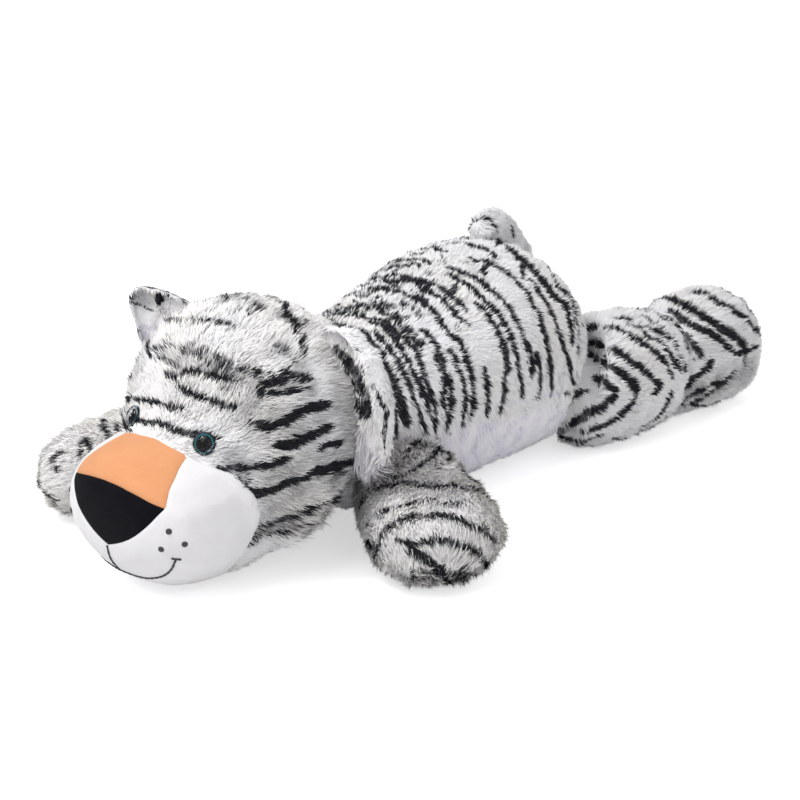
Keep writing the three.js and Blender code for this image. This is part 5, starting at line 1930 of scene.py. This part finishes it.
@dataclass
class Eye:
    """A safety eye: a clear dome over a painted iris and a round pupil. Lengths are in millimetres."""

    side: str
    radius: float = 13.9
    dome: float = 10.0
    pupil_radius: float = 9.1
    disc_depth: float = 0.8
    turned_out: float = 12.0
    sunk: float = 1.2

    def axis(self) -> tuple[Vector, Vector]:
        """The foot of the dome and the way that the eye looks."""
        middles = []
        for part in ("shank", "lens"):
            low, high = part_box(f"eye_{self.side}_{part}")
            middles.append((Vector(low) + Vector(high)) / 2)
        way = (middles[1] - middles[0]).normalized()
        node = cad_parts[f"eye_{self.side}_lens"]
        foot = min(points_of(node) @ np.array(way))
        place = middles[1] + way * (foot - middles[1].dot(way) - self.sunk * MM)
        outward = math.radians(self.turned_out) * (1 if self.side == "left" else -1)
        return place, Matrix.Rotation(outward, 3, "Z") @ way

    def build(self) -> None:
        """Make the dome, the iris and the pupil."""
        name = f"eye_{self.side}"
        dome = added(bpy.ops.mesh.primitive_uv_sphere_add, segments=48, ring_count=32, radius=self.radius * MM)
        rows = points_of(dome)
        rows[:, 2] = np.where(rows[:, 2] > 0, rows[:, 2] * self.dome / self.radius, rows[:, 2] * 0.05)
        set_points(dome, rows)
        self.placed(dome, f"{name}_dome", 0.2)
        dressed(dome, Finishes.DOME, "eye_lens", "head", f"{name}_lens")
        ring = self.disc(f"{name}_ring", self.radius * 0.985, 1.2)
        dressed(ring, Finishes.IRIS, "eye_iris", "head", f"{name}_iris")
        centre = self.disc(f"{name}_centre", self.pupil_radius, 2.6)
        dressed(centre, Finishes.PUPIL, "eye_pupil", "head", f"{name}_pupil")

    def placed(self, made: bpy.types.Object, name: str, rise: float) -> bpy.types.Object:
        """Turn a piece made at the origin to the eye's axis and lift it."""
        foot, way = self.axis()
        return settled(made, name, foot + way * rise * MM, way)

    def disc(self, name: str, radius: float, rise: float) -> bpy.types.Object:
        """A thin disc with its distance from the middle kept for the finish."""
        made = added(bpy.ops.mesh.primitive_cylinder_add, vertices=64, radius=radius * MM,
                     depth=self.disc_depth * MM, end_fill_type="TRIFAN")
        with editing():
            bpy.ops.mesh.subdivide(number_cuts=3)
        store(made, "outward", np.linalg.norm(points_of(made)[:, :2], axis=1) / (radius * MM))
        return self.placed(made, name, rise)


# The whole tiger


RIGHT_HIP = (-0.102, 0.24028)
FRONT_PILE = Pile(length=0.014, per_cm2=40.0, lay=0.60, warmth=0.35, brush=Brush.OUTWARD)
RIGHT_EAR_PILE = Pile(length=0.006, per_cm2=86.0, lay=0.75, brush=Brush.DOWN)
LEFT_EAR_FOLD = ((316, 330), (321, 350), (327, 364), (340, 388), (353, 410), (363, 429), (372, 448), (400, 452),
                 (410, 330))
RIGHT_EAR_FOLD = ((100, 260), (100, 326), (132, 327), (150, 322), (215, 318), (215, 260))


def build_torso() -> None:
    """The body."""
    Torso("body", "body", "back_cover", "body_filling", Dye(TORSO_STRIPES, mirrored=True),
          Pile(length=0.0095, per_cm2=40.0, lay=0.60), Stuffing(voxel=0.008, inset=0.001, swell=0.006),
          fullest=(Swell((0.0, 0.20, 0.29), 0.075, 0.009), Swell((0.105, -0.185, 0.05), 0.05, 0.012),
                   Swell((0.05, -0.03, 0.24), 0.09, -0.005))).build()
    log.info("torso: built")


def build_head() -> None:
    """The head's fur, the face, the eyes and the ears."""
    pile = Pile(length=0.014, per_cm2=42.0, lay=0.60, warmth=0.24, brush=Brush.FACE, centre=(0.0, -0.45, 0.13))
    Head("head", "head", "head_cover", "head_filling", Dye(HEAD_STRIPES, HEAD_GREY_AND_SHADE_WASHES), pile,
         Stuffing(voxel=0.007, inset=0.0045, swell=0.003), fullest=(Swell((0.13, -0.31, 0.035), 0.06, 0.016),),
         seed=6).build()
    log.info("head: built")
    FaceStitching().build(Face().build())
    for side in ("left", "right"):
        Eye(side).build()
    left = Ear("left", LEFT_EAR_STRIPES, LEFT_EAR_FOLD)
    left.build()
    Ear("right", RIGHT_EAR_STRIPES, RIGHT_EAR_FOLD, 0.009, replace(left.stuffing, inset=0.0035), RIGHT_EAR_PILE,
        replace(RIGHT_EAR_PILE, length=0.012, lay=0.84, warmth=0.0)).build()
    log.info("face, eyes and ears: built")


def build_front_legs() -> None:
    """Both front legs."""
    ways = {"left": (0.6, -0.6, 0.0), "right": (-0.4, -0.9, 0.0)}
    fullest = {"left": Swell((0.13, -0.115, 0.13), 0.05, 0.010), "right": Swell((-0.22, -0.41, 0.02), 0.05, 0.008)}
    for side, marks, seed in (("left", LEFT_PAW_STRIPES, 7), ("right", RIGHT_PAW_STRIPES, 8)):
        name, way = f"front_leg_{side}", ways[side]
        FurForm(name, name, f"{name}_cover", f"{name}_filling",
                Dye(marks, band_way=way, band_spacing=0.03, widened=1.12), replace(FRONT_PILE, way=way),
                Stuffing(inset=0.002, swell=0.004), root=(f"{name}_root_filling",), beside=TORSO_COVERS,
                fullest=(fullest[side],), seed=seed).build()
        log.info("front leg, %s: built", side)


def build_hind_legs() -> None:
    """Both hind legs; the right one borrows the left one's stripes, because the photograph hides it."""
    lent, parts = {}, (("thigh", THIGH_STRIPES, {}, 9), ("foot", FOOT_STRIPES, FOOT_GREY_AND_SHADE_WASHES, 10))
    for side, way in (("left", (0.0, 1.0, 0.0)), ("right", (-0.42, 0.9, 0.0))):
        for part, marks, grey_and_shade_washes, seed in parts:
            name = f"hind_leg_{side}_{part}"
            dye = Dye(marks, grey_and_shade_washes, widened=1.6, lender=lent.get(part), turned=25.0, pivot=RIGHT_HIP)
            pile = Pile(length=0.0115, per_cm2=37.0, lay=0.62, brush=Brush.OUTWARD, way=way)
            root = (f"hind_leg_{side}_root_filling",) if part == "thigh" else ()
            tree = FurForm(name, name, f"{name}_cover", f"{name}_filling", dye, pile,
                           Stuffing(inset=-0.003, swell=0.004), root=root, beside=TORSO_COVERS,
                           clear_gap=-0.012, seed=seed + (10 if side == "right" else 0)).build()
            lent.setdefault(part, tree)
        log.info("hind leg, %s: built", side)


def build_tail() -> None:
    """The short curled tail."""
    pile = Pile(length=0.010, per_cm2=48.0, lay=0.55, brush=Brush.OUTWARD, way=(0.0, 0.6, -0.5))
    FurForm("tail", "tail", "tail_cover", "tail_filling",
            Dye(TAIL_STRIPES, band_way=(0.3, 0.4, 1.0), band_spacing=0.028), pile,
            Stuffing(voxel=0.005, inset=0.005, swell=0.002), root=("tail_root_filling",), beside=("back_cover",),
            seed=30).build()
    log.info("tail: built")


def build_roots() -> None:
    """The stuffed balls at the roots of the head and the limbs."""
    InnerFilling("neck_filling", "neck").build()
    for limb in ("front_leg_left", "front_leg_right", "hind_leg_left", "hind_leg_right", "tail"):
        InnerFilling(f"{limb}_root_filling", f"{limb}_root").build()
    log.info("root fillings: built")


def main() -> None:
    """Build the studio, then the tiger piece by piece."""
    logging.basicConfig(level=logging.INFO, format="%(message)s")
    Studio().build()
    log.info("studio: built")
    build_torso()
    build_head()
    build_front_legs()
    build_hind_legs()
    build_tail()
    build_roots()
    for side in ("left", "right"):
        for part, finish in (("shank", Finishes.SHANK), ("washer", Finishes.WASHER)):
            wear(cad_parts[f"eye_{side}_{part}"], finish)
    log.info("eye backs: dressed")


if __name__ == "__main__":
    main()
